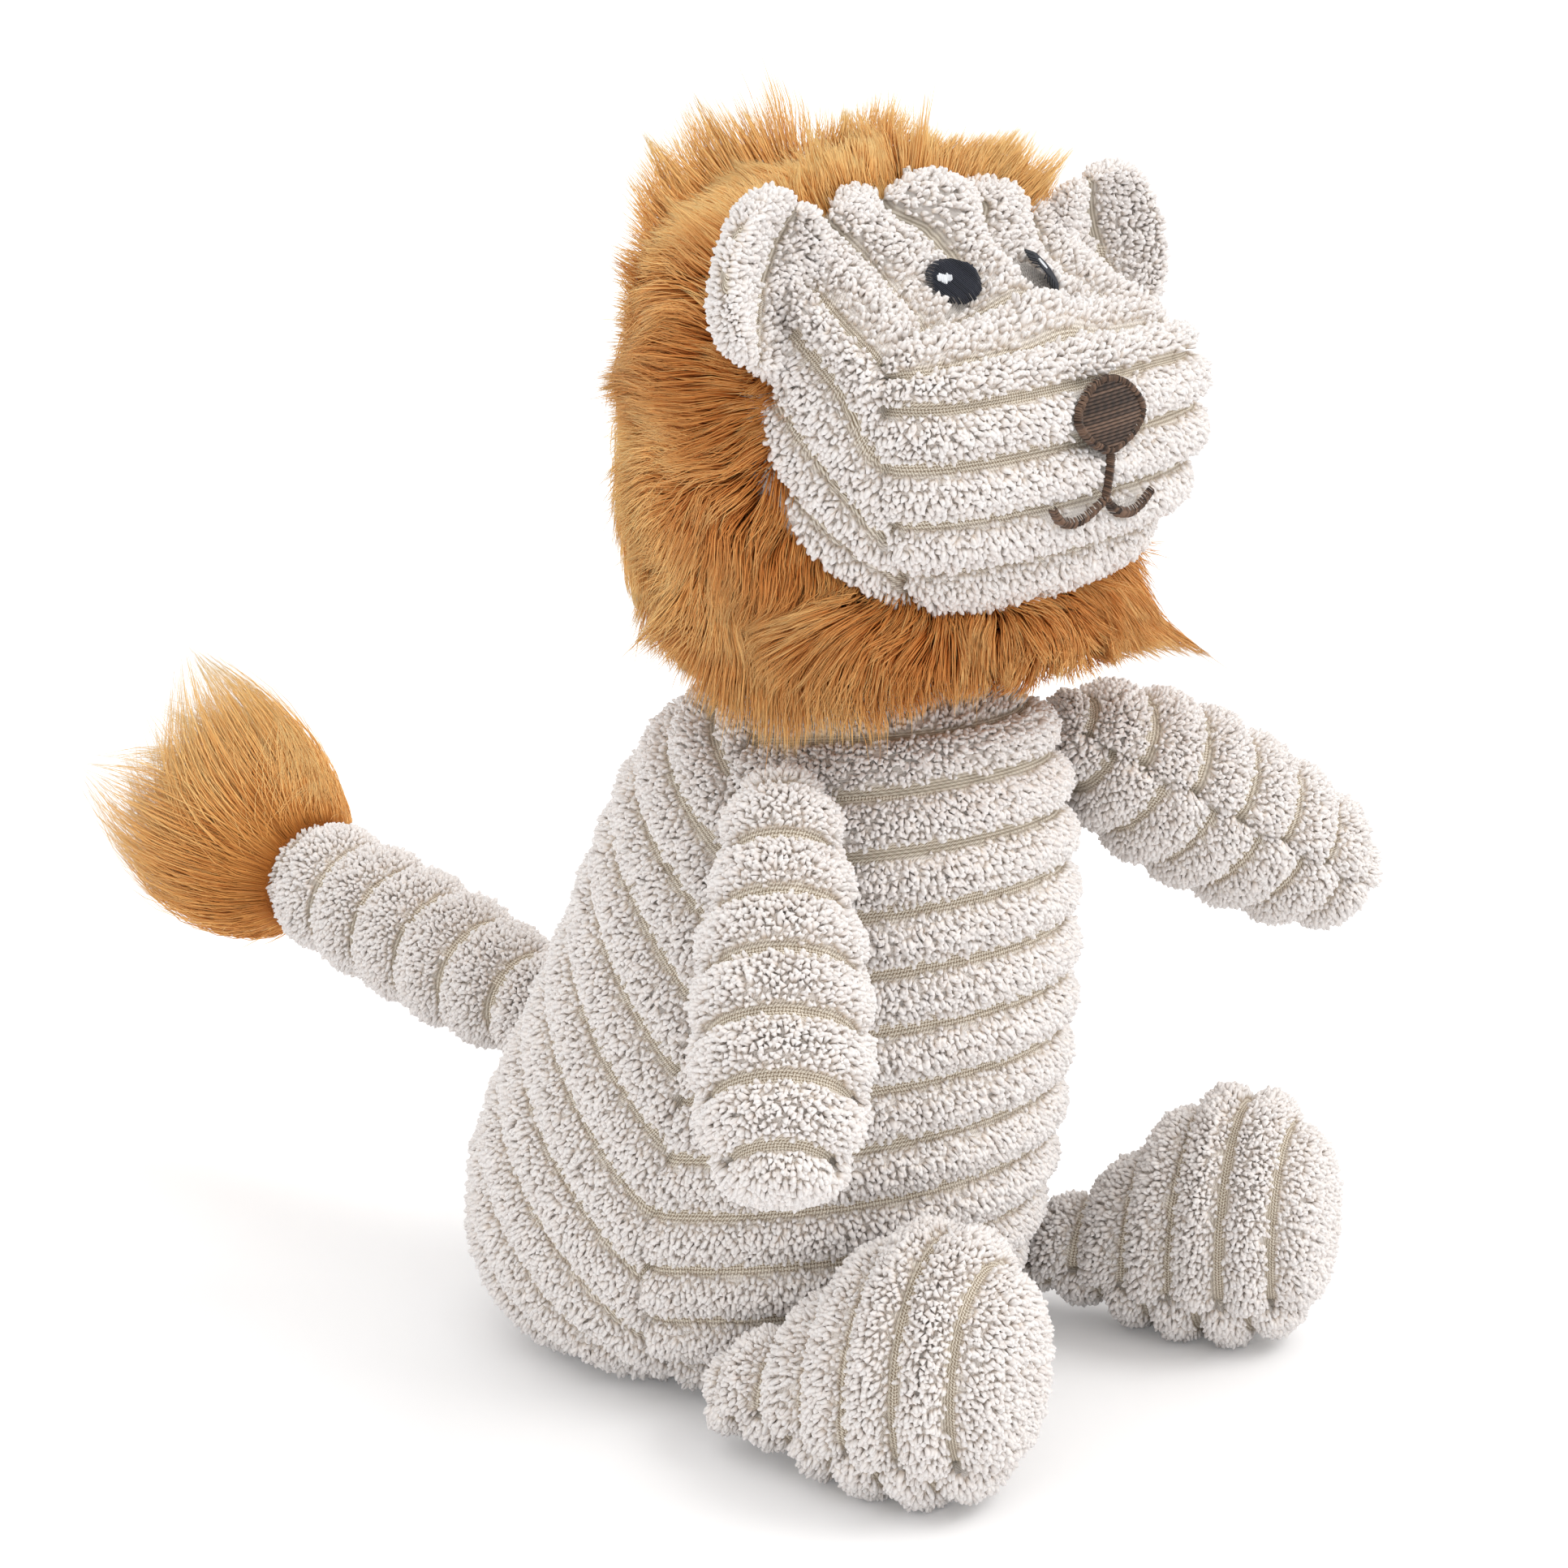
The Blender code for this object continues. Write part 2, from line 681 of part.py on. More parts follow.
def mouth_outline(top, foot):
    """The outline of an anchor: a straight stroke from top down to foot, and an arc rising from there to each side."""
    half = MOUTH_STROKE / 2
    arc = smooth_curve([(MOUTH_HALF_WIDTH * x, foot + MOUTH_LIFT * y) for x, y in MOUTH_OUTLINE_SHARES])
    stroke = stroke_outline(arc, MOUTH_STROKE)
    over, under = stroke[: len(arc)], stroke[len(arc) :]
    side = [(half, top)] + [point for point in over if point[0] > half] + [point for point in under if point[0] > half]
    return side + [(0.0, foot - MOUTH_STROKE)] + [(-x, y) for x, y in reversed(side)]


def face_frame(x, z, pitch_degrees=0.0):
    """A frame on the head's front whose +Z points out of the face and +Y up."""
    upright = Matrix.Rotation(math.radians(90.0 - pitch_degrees), 4, "X")
    return Matrix.Translation((x, HEAD_CENTRE_Y - HEAD_FRONT_REACH / 2, z)) @ upright


def add_pad(name, outline_cutter, grown, skin_gap, holes, parts, slot, finish):
    """A thread pad: the outline through a thin layer over the face."""
    mesh = outline_cutter.data.copy()
    obj = add_object(name, mesh, parts, slot, finish)
    cut(obj, grown, "INTERSECT")
    cut(obj, skin_gap)
    for hole in holes:
        cut(obj, hole)
    return obj


def build_face(parts, cutters, grown, skin_gap):
    """The embroidered eyes, nose and mouth."""
    pieces = []
    depth = HEAD_FRONT_REACH * FACE_DEPTH_SHARE
    for side, sign in (("right", -1), ("left", 1)):
        frame = face_frame(sign * EYE_CENTRE_X, head_level(EYE_HEIGHT_SHARE), EYE_PITCH_DEGREES)
        shift = (-GLINT_SHIFT, GLINT_SHIFT / 2)
        room = GLINT_RADIUS + GLINT_CLEARANCE
        eye_line = ellipse_outline(EYE_HALF_WIDTH, EYE_HALF_HEIGHT)
        hole_line = ellipse_outline(room, room, shift)
        spot_line = ellipse_outline(GLINT_RADIUS, GLINT_RADIUS, shift)
        eye = prism(f"eye_{side}_outline", eye_line, frame, depth, cutters)
        hole = prism(f"glint_{side}_hole", hole_line, frame, depth, cutters)
        spot = prism(f"glint_{side}_outline", spot_line, frame, depth, cutters)
        pieces.append(add_pad(f"eye_{side}", eye, grown, skin_gap, (hole,), parts, "thread_black", THREAD_BLACK))
        pieces.append(add_pad(f"eye_glint_{side}", spot, grown, skin_gap, (), parts, "thread_white", THREAD_WHITE))
    half = [(NOSE_HALF_WIDTH * x, NOSE_HEIGHT * y) for x, y in NOSE_OUTLINE_SHARES]
    ring = smooth_curve(half)
    outline = ring + [(-x, y) for x, y in reversed(ring[1:-1])]
    frame = face_frame(0.0, head_level(NOSE_HEIGHT_SHARE))
    nose = prism("nose_outline", outline, frame, depth, cutters)
    pieces.append(add_pad("nose", nose, grown, skin_gap, (), parts, "thread_brown", THREAD_BROWN))
    low = NOSE_HEIGHT * NOSE_OUTLINE_SHARES[-1][1] - PIECE_GAP
    mouth = prism("mouth_outline", mouth_outline(low, low - PHILTRUM_HEIGHT), frame, depth, cutters)
    pieces.append(add_pad("mouth", mouth, grown, skin_gap, (), parts, "thread_brown", THREAD_BROWN))
    return pieces


def build_head(parts, cutters):
    """The head's skin and stuffing, the ears, the mane and the face."""
    skin_gap = head_cutter("head_gap_form", PIECE_GAP, cutters)
    grown = head_cutter("head_thread_form", PIECE_GAP + THREAD_THICKNESS, cutters)
    skin = add_skin("head_skin", head_rings(), parts)
    core = add_stuffing("head_stuffing", head_rings(SKIN_THICKNESS + STUFFING_SLACK), parts)
    pieces = [skin, core]
    mane = add_object("mane", loft(mane_rings(), True, True), parts, "mane_fur", MANE_GINGER)
    subdivide(mane)
    pieces.append(mane)
    for side, sign in (("right", -1), ("left", 1)):
        ear = add_object(f"ear_{side}", ear_mesh(sign), parts, "plush", PLUSH_CREAM)
        cut(ear, skin_gap)
        pieces.append(ear)
        cut(mane, add_cutter(f"ear_{side}_room", ear_mesh(sign, PIECE_GAP), cutters))
    cut(mane, skin_gap)
    return pieces + build_face(parts, cutters, grown, skin_gap)


def pivot_empty(name, point, children, parts):
    """An empty on a joint's axis that carries its pieces."""
    empty = bpy.data.objects.new(name, None)
    empty.location = point
    parts.objects.link(empty)
    for child in children:
        child.parent = empty
        child.matrix_parent_inverse = Matrix.Translation(point).inverted()


def neck_centre():
    """The middle of the neck opening, on the head's side."""
    share = BODY_SECTION_SHARES[-1]
    middle = (BODY_BACK_REACH * share[-1] - BODY_FRONT_REACH * share[-2]) / 2
    return Vector((0.0, middle, head_base()))


def main():
    """Builds the lion."""
    clear_scene()
    parts = new_collection("plush_lion")
    cutters = new_collection("cutters")
    floor = floor_cutter(cutters)
    sockets = []
    for side, sign, plane, drop, splay in (
        ("right", -1, ARM_RIGHT_PLANE_DEGREES, ARM_RIGHT_DROP_DEGREES, LEG_RIGHT_SPLAY_DEGREES),
        ("left", 1, ARM_LEFT_PLANE_DEGREES, ARM_LEFT_DROP_DEGREES, LEG_LEFT_SPLAY_DEGREES),
    ):
        point, pieces = build_arm(side, sign, plane, drop, parts)
        pivot_empty(f"shoulder_{side}", point, pieces, parts)
        sockets.append(socket_cutter(f"shoulder_{side}_room", point, ARM_ROOT_RADIUS, cutters))
        point, pieces = build_leg(side, sign, splay, parts, floor)
        pivot_empty(f"hip_{side}", point, pieces, parts)
        sockets.append(socket_cutter(f"hip_{side}_room", point, LEG_ROOT_RADIUS, cutters))
    point, pieces = build_tail(parts)
    pivot_empty("tail_root", point, pieces, parts)
    sockets.append(socket_cutter("tail_room", point, TAIL_ROOT_RADIUS, cutters))
    build_body(parts, floor, sockets)
    pivot_empty("neck", neck_centre(), build_head(parts, cutters), parts)
    bpy.context.view_layer.update()


main()
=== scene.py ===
"""Dresses the seated plush lion: ribbed pile covers, a long-pile mane and tail tuft, and a stitched face.

All lengths are in metres, in the model's own frame: +Z up, the lion faces -Y, and its right side is at -X.
"""

import logging
import math
from dataclasses import dataclass, field
from enum import Enum
from typing import Callable, Optional, Sequence

import bpy
import numpy as np
from mathutils import Matrix, Vector
from mathutils.bvhtree import BVHTree
from mathutils.kdtree import KDTree

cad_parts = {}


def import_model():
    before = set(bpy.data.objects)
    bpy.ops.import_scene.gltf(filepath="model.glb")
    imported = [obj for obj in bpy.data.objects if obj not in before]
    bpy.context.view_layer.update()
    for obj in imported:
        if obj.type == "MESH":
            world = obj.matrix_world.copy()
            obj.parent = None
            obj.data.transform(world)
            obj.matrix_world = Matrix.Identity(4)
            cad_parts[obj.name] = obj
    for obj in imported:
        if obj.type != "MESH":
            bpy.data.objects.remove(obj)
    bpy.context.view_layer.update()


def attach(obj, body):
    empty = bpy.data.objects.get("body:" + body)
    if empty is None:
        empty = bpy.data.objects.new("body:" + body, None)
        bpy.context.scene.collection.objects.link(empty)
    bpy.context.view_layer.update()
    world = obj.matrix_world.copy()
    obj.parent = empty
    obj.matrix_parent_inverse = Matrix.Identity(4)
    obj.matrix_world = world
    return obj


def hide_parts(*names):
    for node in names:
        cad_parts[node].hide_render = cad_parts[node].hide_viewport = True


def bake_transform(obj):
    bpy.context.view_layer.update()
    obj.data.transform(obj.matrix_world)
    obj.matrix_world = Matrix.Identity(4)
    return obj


MM = 0.001
# The most tufts or hairs that one piece holds
PIECE_TUFT_LIMIT = 12200
PIECE_STRAND_LIMIT = 8800
AXIS_X, AXIS_Y = 0, 1
# How many points measure the length of a ring
RING_SAMPLES = 73

LOG = logging.getLogger("lion")
Array = np.ndarray
Pair = tuple[float, float]
Triple = tuple[float, float, float]
Line = tuple[Pair, Pair]


def unit(vectors: Array) -> Array:
    """Vectors of length one along the given ones."""
    return vectors / np.maximum(np.linalg.norm(vectors, axis=-1, keepdims=True), 1e-12)


def smooth(low: float, high: float, values: Array) -> Array:
    """A smooth step from 0 at low to 1 at high."""
    share = np.clip((values - low) / (high - low), 0.0, 1.0)
    return share * share * (3 - 2 * share)


def flat_on(vectors: Array, normals: Array) -> Array:
    """The part of each vector that lies in the surface with that normal."""
    return vectors - (vectors * normals).sum(-1, keepdims=True) * normals


def side_pair(ways: Array, rolls: Array) -> tuple[Array, Array]:
    """Two unit vectors square to each way and to each other, turned about it by its roll.

    Args:
        ways: Unit vectors, one a row.
        rolls: Turns in radians, one a row.

    Returns:
        The two side vectors of every row.
    """
    helper = np.where(np.abs(ways[:, 2:3]) < 0.9, np.array([[0.0, 0.0, 1.0]]), np.array([[1.0, 0.0, 0.0]]))
    first = unit(np.cross(ways, helper))
    second = np.cross(ways, first)
    turn, rise = np.cos(rolls)[:, None], np.sin(rolls)[:, None]
    return first * turn + second * rise, second * turn - first * rise


def tube_faces(first: int, rings: int, sides: int) -> list[tuple[int, ...]]:
    """The quads of a thin tube whose points start at first and go ring by ring."""
    return [
        (low + i, low + (i + 1) % sides, low + sides + (i + 1) % sides, low + sides + i)
        for low in range(first, first + sides * (rings - 1), sides)
        for i in range(sides)
    ]


def grid_faces(rows: int, columns: int) -> Array:
    """The quads of a grid of points that closes on itself around."""
    i, j = (a.ravel() for a in np.meshgrid(np.arange(rows - 1), np.arange(columns), indexing="ij"))
    k = (j + 1) % columns
    return np.stack([i * columns + j, i * columns + k, (i + 1) * columns + k, (i + 1) * columns + j], 1)


def solid_surface(*nodes: str) -> BVHTree:
    """The surface of some of the frame's own solids at rest, for casting on."""
    points, faces = [], []
    for node in nodes:
        mesh = bpy.data.objects[node].data
        faces += [tuple(len(points) + i for i in polygon.vertices) for polygon in mesh.polygons]
        points += [vertex.co.copy() for vertex in mesh.vertices]
    return BVHTree.FromPolygons(points, faces)


class Slot(Enum):
    """The record's material slots."""

    PLUSH = "plush"
    FUR = "mane_fur"
    BLACK = "thread_black"
    BROWN = "thread_brown"
    WHITE = "thread_white"


class Side(Enum):
    """The lion's own sides, with the sign of X there."""

    RIGHT = -1
    LEFT = 1

    @property
    def word(self) -> str:
        """The side's name in lower case."""
        return self.name.lower()


@dataclass(frozen=True)
class PhotoView:
    """How the lion was photographed, as estimated, to place what is read off the photograph in pixels."""

    azimuth: float = -48.0
    elevation: float = 14.0
    distance: float = 0.69
    view_angle: float = 26.0
    pixels: int = 1932
    # Where the model's origin is seen, on the floor under the lion
    origin_pixel: Pair = (935, 1630)

    def axes(self) -> tuple[Array, Array, Array]:
        """The camera's way, its right and its up, as unit vectors."""
        turn, dip = math.radians(self.azimuth), math.radians(self.elevation)
        way = np.array([-math.sin(turn) * math.cos(dip), math.cos(turn) * math.cos(dip), -math.sin(dip)])
        right = unit(np.cross(way, np.array([0.0, 0.0, 1.0])))
        return way, right, np.cross(right, way)

    def ray(self, pixel: Pair) -> Array:
        """The way from the camera to what is seen at a pixel."""
        way, right, up = self.axes()
        middle = self.pixels / 2
        focal = middle / math.tan(math.radians(self.view_angle) / 2)
        return way + (pixel[0] - middle) / focal * right + (middle - pixel[1]) / focal * up

    def place(self) -> Array:
        """Where the camera stands."""
        return -self.distance * self.ray(self.origin_pixel)

    def on_plane(self, pixel: Pair, axis: int, level: float) -> Array:
        """The point seen at a pixel if its coordinate on one axis is level, in metres."""
        ray, place = self.ray(pixel), self.place()
        return place + (level - place[axis]) / ray[axis] * ray

    def on_surface(self, pixel: Pair, surface: BVHTree) -> Array:
        """The point of a surface that is seen at a pixel."""
        return np.array(surface.ray_cast(Vector(self.place()), Vector(self.ray(pixel)).normalized())[0])


PHOTO = PhotoView()


@dataclass
class MeshData:
    """Points, faces of one size or more, and what is stored along with them."""

    points: Array
    faces: list[Array]
    values: dict[str, Array] = field(default_factory=dict)
    corners: Optional[Array] = None

    def make(self, name: str) -> bpy.types.Object:
        """A linked, smoothly shaded object.

        Args:
            name: The piece's name.

        Returns:
            The object, at the origin.
        """
        mesh = bpy.data.meshes.new(name)
        mesh.vertices.add(len(self.points))
        mesh.vertices.foreach_set("co", np.ascontiguousarray(self.points, np.float32).ravel())
        sizes = np.concatenate([np.full(len(faces), faces.shape[1]) for faces in self.faces])
        loops = np.concatenate([faces.ravel() for faces in self.faces]).astype(np.int32)
        mesh.loops.add(len(loops))
        mesh.loops.foreach_set("vertex_index", loops)
        mesh.polygons.add(len(sizes))
        mesh.polygons.foreach_set("loop_start", (np.cumsum(sizes) - sizes).astype(np.int32))
        mesh.update(calc_edges=True)
        for key, numbers in self.values.items():
            layer = mesh.attributes.new(key, "FLOAT", "POINT")
            layer.data.foreach_set("value", np.ascontiguousarray(numbers, np.float32))
        if self.corners is not None:
            layer = mesh.uv_layers.new(name="cloth")
            layer.data.foreach_set("uv", np.ascontiguousarray(self.corners, np.float32).ravel())
        mesh.shade_smooth()
        made = bpy.data.objects.new(name, mesh)
        bpy.context.scene.collection.objects.link(made)
        return made


def repeated(template: Sequence[Sequence[int]], count: int, stride: int) -> Array:
    """The template's faces once for each of count copies that have stride points each."""
    starts = stride * np.arange(count)[:, None, None]
    return (np.asarray(template)[None] + starts).reshape(-1, len(template[0]))


def ring_points(middle: Array, sides: tuple[Array, Array], radius: Array, corners: int = 3) -> list[Array]:
    """The corners of a thin ring round every middle, one array for each corner."""
    angles = [2 * math.pi * corner / corners for corner in range(corners)]
    return [middle + (sides[0] * math.cos(a) + sides[1] * math.sin(a)) * radius for a in angles]


class SoftForm:
    """A smooth closed surface through rings of cage points: a cubic spline along and around."""

    def __init__(self, rings: Sequence[Array]) -> None:
        """Closes the first and last ring with a pole in its middle."""
        half = len(rings[0]) // 2
        poles = [np.repeat(ring.mean(0)[None], len(ring), 0) for ring in (rings[0], rings[-1])]
        beyond = [np.roll(ring, half, 0) for ring in (rings[0], rings[-1])]
        self.rows = np.stack([beyond[0], poles[0], *rings, poles[1], beyond[1]])
        self.sides = len(rings[0])
        self.last = len(self.rows) - 3
        self.axis = unit(poles[1][:1] - poles[0][:1])

    @staticmethod
    def weights(share: Array) -> tuple[Array, Array]:
        """The four spline weights at each share of a span, and their slopes."""
        f, r = share, 1 - share
        value = np.stack([r**3, 3 * f**3 - 6 * f**2 + 4, -3 * f**3 + 3 * f**2 + 3 * f + 1, f**3], 1) / 6
        slope = np.stack([-3 * r**2, 9 * f**2 - 12 * f, -9 * f**2 + 6 * f + 3, 3 * f**2], 1) / 6
        return value, slope

    def evaluate(self, s: Array, t: Array) -> tuple[Array, Array]:
        """Points and outward normals of the surface.

        Args:
            s: Places along, from 0 to last.
            t: Places around, a side of the cage each.

        Returns:
            The points and their unit normals.
        """
        row = np.clip(np.floor(s).astype(int), 0, self.last - 1)
        column = np.floor(t).astype(int)
        along, along_slope = self.weights(s - row)
        around, around_slope = self.weights(t - column)
        cage = self.rows[
            (row[:, None] + np.arange(4))[:, :, None],
            ((column[:, None] + np.arange(-1, 3)) % self.sides)[:, None, :],
        ]
        across = np.einsum("na,nabk->nbk", along, cage)
        point = np.einsum("nb,nbk->nk", around, across)
        turn = np.einsum("nb,nbk->nk", around_slope, across)
        run = np.einsum("nb,nbk->nk", around, np.einsum("na,nabk->nbk", along_slope, cage))
        normal = np.cross(turn, run)
        thin = np.linalg.norm(normal, axis=1) < 1e-9
        normal[thin] = np.where(s[thin, None] < self.last / 2, -self.axis, self.axis)
        return point, unit(normal)

    def levels(self, spacing: float, fine: int = 260, around: int = 24) -> Array:
        """Places along whose rings lie spacing apart on average."""
        s = np.linspace(0, self.last, fine)
        t = np.linspace(0, self.sides, around, endpoint=False)
        points = self.evaluate(np.repeat(s, around), np.tile(t, fine))[0].reshape(fine, around, 3)
        run = np.linalg.norm(np.diff(points, axis=0), axis=2).mean(1)
        length = np.concatenate([[0.0], np.cumsum(run)])
        return np.interp(np.linspace(0, length[-1], max(4, round(length[-1] / spacing) + 1)), length, s)

    def scatter(self, spacing: float, rng: np.random.Generator) -> tuple[Array, Array]:
        """Even but unordered places on the whole surface.

        Args:
            spacing: How far apart they lie.
            rng: The source of the disorder.

        Returns:
            Their places along and around.
        """
        made_s, made_t = [], []
        jitter, probe, edge = 0.33, 0.02, 0.001
        samples = np.linspace(0, self.sides, RING_SAMPLES)
        for s in self.levels(spacing * 0.9)[1:-1]:
            ring = self.evaluate(np.full(RING_SAMPLES, s), samples)[0]
            ahead = self.evaluate(np.full(RING_SAMPLES, min(s + probe, self.last)), samples)[0]
            length = np.concatenate([[0.0], np.cumsum(np.linalg.norm(np.diff(ring, axis=0), axis=1))])
            count = max(3, round(length[-1] / spacing))
            order = np.arange(count) + rng.random() + rng.uniform(-jitter, jitter, count)
            places = order % count * length[-1] / count
            t = np.interp(places, length, samples)
            run = np.linalg.norm(ahead - ring, axis=1)
            share = np.interp(t, samples, run / run.max())
            stay = rng.random(count) < share
            made_t.append(t[stay])
            drift = rng.uniform(-jitter, jitter, stay.sum()) * spacing * probe
            made_s.append(s + drift / np.maximum(1e-6, np.interp(t[stay], samples, run)))
        return np.clip(np.concatenate(made_s), edge, self.last - edge), np.concatenate(made_t)


@dataclass
class RibReading:
    """Where points lie on ribbed cloth: how far from the nearest groove, and which way the crown is."""

    distance: Array
    half: Array
    signed: Array
    uphill: Array
    seam: Array


@dataclass(frozen=True)
class RibProfile:
    """The section of the ribbed cloth, measured from the outline of the stuffed piece."""

    crown_drop: float = 1.3 * MM
    groove_depth: float = 2.4 * MM
    groove_half_width: float = 1.12 * MM
    seam_depth: float = 1.4 * MM
    seam_width: float = 1.3 * MM
    # Where a rib starts to rise, as a share of the groove's half width, and how full its section is
    foot: float = 0.6
    fullness: float = 2.6

    def lift(self, reading: RibReading) -> Array:
        """How far the cloth stands out from the outline, always below it."""
        foot = self.foot * self.groove_half_width
        share = np.clip((reading.distance - foot) / (reading.half - foot), 0, 1)
        rib = -self.crown_drop - self.groove_depth * (1 - share) ** self.fullness
        return rib - self.seam_depth * np.exp(-((reading.seam / self.seam_width) ** 2))


class RibField:
    """How the ribs run over a piece. A groove lies wherever the phase is a whole number."""

    pitch = 11.5 * MM

    def phase(self, points: Array) -> Array:
        """The count of ribs up to each point."""
        raise NotImplementedError

    def seam(self, points: Array) -> Array:
        """How far each point is from the nearest seam."""
        return np.full(len(points), 1.0)

    def swell(self, points: Array) -> Array:
        """How far the cloth stands out beyond the plain outline."""
        return np.zeros(len(points))

    def read(self, points: Array, normals: Array) -> RibReading:
        """Measures the ribs at points on the surface.

        Args:
            points: Points on the piece's outline.
            normals: The outline's unit normals there.

        Returns:
            The reading at every point.
        """
        step = 0.3 * MM
        phase = self.phase(points)
        slope = np.stack([self.phase(points + step * axis) - phase for axis in np.eye(3)], 1) / step
        slope = flat_on(slope, normals)
        steep = np.linalg.norm(slope, axis=1)
        local = 1 / np.clip(steep, 1 / (1.6 * self.pitch), 1 / (0.75 * self.pitch))
        away = phase - np.round(phase)
        uphill = unit(slope) * np.sign(away)[:, None]
        return RibReading(np.abs(away) * local, local / 2, away * local, uphill, self.seam(points))


@dataclass
class LimbRibs(RibField):
    """Ribs that ring a limb, set off by half a rib under its side seams."""

    pivot: Array
    way: Array
    up: Array
    first: float
    pitch: float
    seam_level: float = 0.0
    shift: float = 0.5

    def height(self, points: Array) -> Array:
        """How far above the side seams each point lies."""
        return (points - self.pivot) @ self.up - self.seam_level

    def phase(self, points: Array) -> Array:
        """The count of rings along the limb."""
        along = (points - self.pivot) @ self.way
        return (along - self.first) / self.pitch + np.where(self.height(points) < 0, self.shift, 0.0)

    def seam(self, points: Array) -> Array:
        """The distance from the side seams."""
        return np.abs(self.height(points)) if self.shift else np.full(len(points), 1.0)


@dataclass
class BodyRibs(RibField):
    """Level ribs on the belly and ribs that fall towards the side seams on the back."""

    pitch: float = 11.2 * MM
    first: float = 126.0 * MM
    sag: float = 0.12
    sag_from: float = -61.0 * MM
    back_pitch: float = 14.0 * MM
    back_fall: float = 0.78
    # The seam's distance across the surface, as a share of that along Y
    seam_share: float = 0.8
    # Where the side seam runs: heights and places along Y
    seam_levels: Sequence[float] = (0.0177, 0.061, 0.1009, 0.1358)
    seam_places: Sequence[float] = (-0.0142, -0.0219, -0.029, -0.0257)

    def behind(self, points: Array) -> Array:
        """How far behind the side seam each point lies."""
        return points[:, 1] - np.interp(points[:, 2], self.seam_levels, self.seam_places)

    def phase(self, points: Array) -> Array:
        """The count of ribs down from the neck."""
        behind = self.behind(points)
        front = (points[:, 2] + self.sag * (points[:, 1] - self.sag_from) - self.first) / self.pitch
        back = (points[:, 2] - self.back_fall * behind - self.first) / self.back_pitch
        return np.where(behind < 0, front, back)

    def seam(self, points: Array) -> Array:
        """The distance from the side seams."""
        return np.abs(self.behind(points)) * self.seam_share


@dataclass
class HeadRibs(RibField):
    """Level ribs round the muzzle, and ribs that run down the forehead and slant over the cheeks."""

    pitch: float = 11.0 * MM
    muzzle_first: float = 199.6 * MM
    muzzle_pitch: float = 10.8 * MM
    muzzle_tilt: float = 0.06
    shelf_rise: float = 0.55
    shelf_levels: Pair = (196.0 * MM, 206.0 * MM)
    front_line: float = -80.0 * MM
    mid_x: float = 1.5 * MM
    # The seam round the muzzle: its place in the middle, and how far it bows forward at the sides
    seam_y: float = -59.0 * MM
    seam_bow: float = 8.5 * MM
    seam_reach: float = 42.0 * MM
    ridge: float = 3.8 * MM
    ridge_width: float = 9.0 * MM
    ridge_levels: Pair = (203.0 * MM, 212.0 * MM)
    ridge_span: Pair = (-36.0 * MM, -46.0 * MM)
    # The seam's distance across the surface, as a share of that along Y
    seam_share: float = 0.75
    # The forehead's middle, half a rib before the first groove
    middle: Sequence[Triple] = ((1.5 * MM, -44.0 * MM, 228.5 * MM), (1.5 * MM, -56.0 * MM, 216.5 * MM))
    # Pixels along each groove, from the forehead's middle out and down the cheek
    groove_pixels: Sequence[Sequence[Pair]] = (
        ((1106, 251), (1144, 277), (1185, 330), (1202, 346)),
        ((1042, 272), (1077, 305), (1123, 361), (1157, 392)),
        ((1006, 338), (1055, 395), (1103, 450)),
        ((975, 417), (1026, 483), (1060, 557)),
        ((970, 534), (1026, 606), (1080, 675)),
        ((1034, 675), (1077, 705)),
    )

    def __post_init__(self) -> None:
        """Fits a smooth count of ribs through the grooves, which are cast on the frame's own head."""
        surface = solid_surface("head_skin")
        marks, count = list(self.middle), [-0.5] * len(self.middle)
        for number, pixels in enumerate(self.groove_pixels):
            marks += [PHOTO.on_surface(pixel, surface) for pixel in pixels]
            count += [number] * len(pixels)
        self.places = np.array(marks)
        size = len(marks)
        system = np.zeros((size + 4, size + 4))
        system[:size, :size] = np.linalg.norm(self.places[:, None] - self.places[None], axis=2)
        system[:size, size:] = np.column_stack([np.ones(size), self.places])
        system[size:, :size] = system[:size, size:].T
        self.fit = np.linalg.solve(system, np.concatenate([count, np.zeros(4)]))

    def ahead(self, points: Array) -> Array:
        """How far in front of the muzzle's seam each point lies, negative on the cheeks and forehead."""
        share = np.clip(np.abs(points[:, 0]) / self.seam_reach, 0, 1) ** 1.3
        return (self.seam_y - self.seam_bow * share) - points[:, 1]

    def side_phase(self, points: Array) -> Array:
        """The count of ribs from the middle of the forehead out and down the cheek, alike on both sides."""
        folded = points.copy()
        folded[:, 0] = self.mid_x - np.abs(points[:, 0] - self.mid_x)
        reach = np.linalg.norm(folded[:, None] - self.places[None], axis=2)
        size = len(self.places)
        return reach @ self.fit[:size] + self.fit[size] + folded @ self.fit[size + 1 :]

    def phase(self, points: Array) -> Array:
        """The count of ribs in whichever panel the point lies."""
        shelf = np.maximum(points[:, 1] - self.front_line, 0) * smooth(*self.shelf_levels, points[:, 2])
        level = points[:, 2] + self.shelf_rise * shelf - self.muzzle_tilt * points[:, 0]
        muzzle = (level - self.muzzle_first) / self.muzzle_pitch
        return np.where(self.ahead(points) > 0, muzzle, self.side_phase(points))

    def seam(self, points: Array) -> Array:
        """The distance from the seam round the muzzle."""
        return np.abs(self.ahead(points)) * self.seam_share

    def swell(self, points: Array) -> Array:
        """A ridge that runs down the middle of the forehead, between the eyes."""
        along = smooth(*self.ridge_levels, points[:, 2]) * smooth(*self.ridge_span, points[:, 1])
        return self.ridge * np.exp(-((points[:, 0] / self.ridge_width) ** 2)) * along


@dataclass
class EarRibs(RibField):
    """One groove slanting down the middle of an ear."""

    centre: Array
    across: Array
    pitch: float = 15.0 * MM

    def phase(self, points: Array) -> Array:
        """The count of ribs across the ear."""
        return (points - self.centre) @ self.across / self.pitch


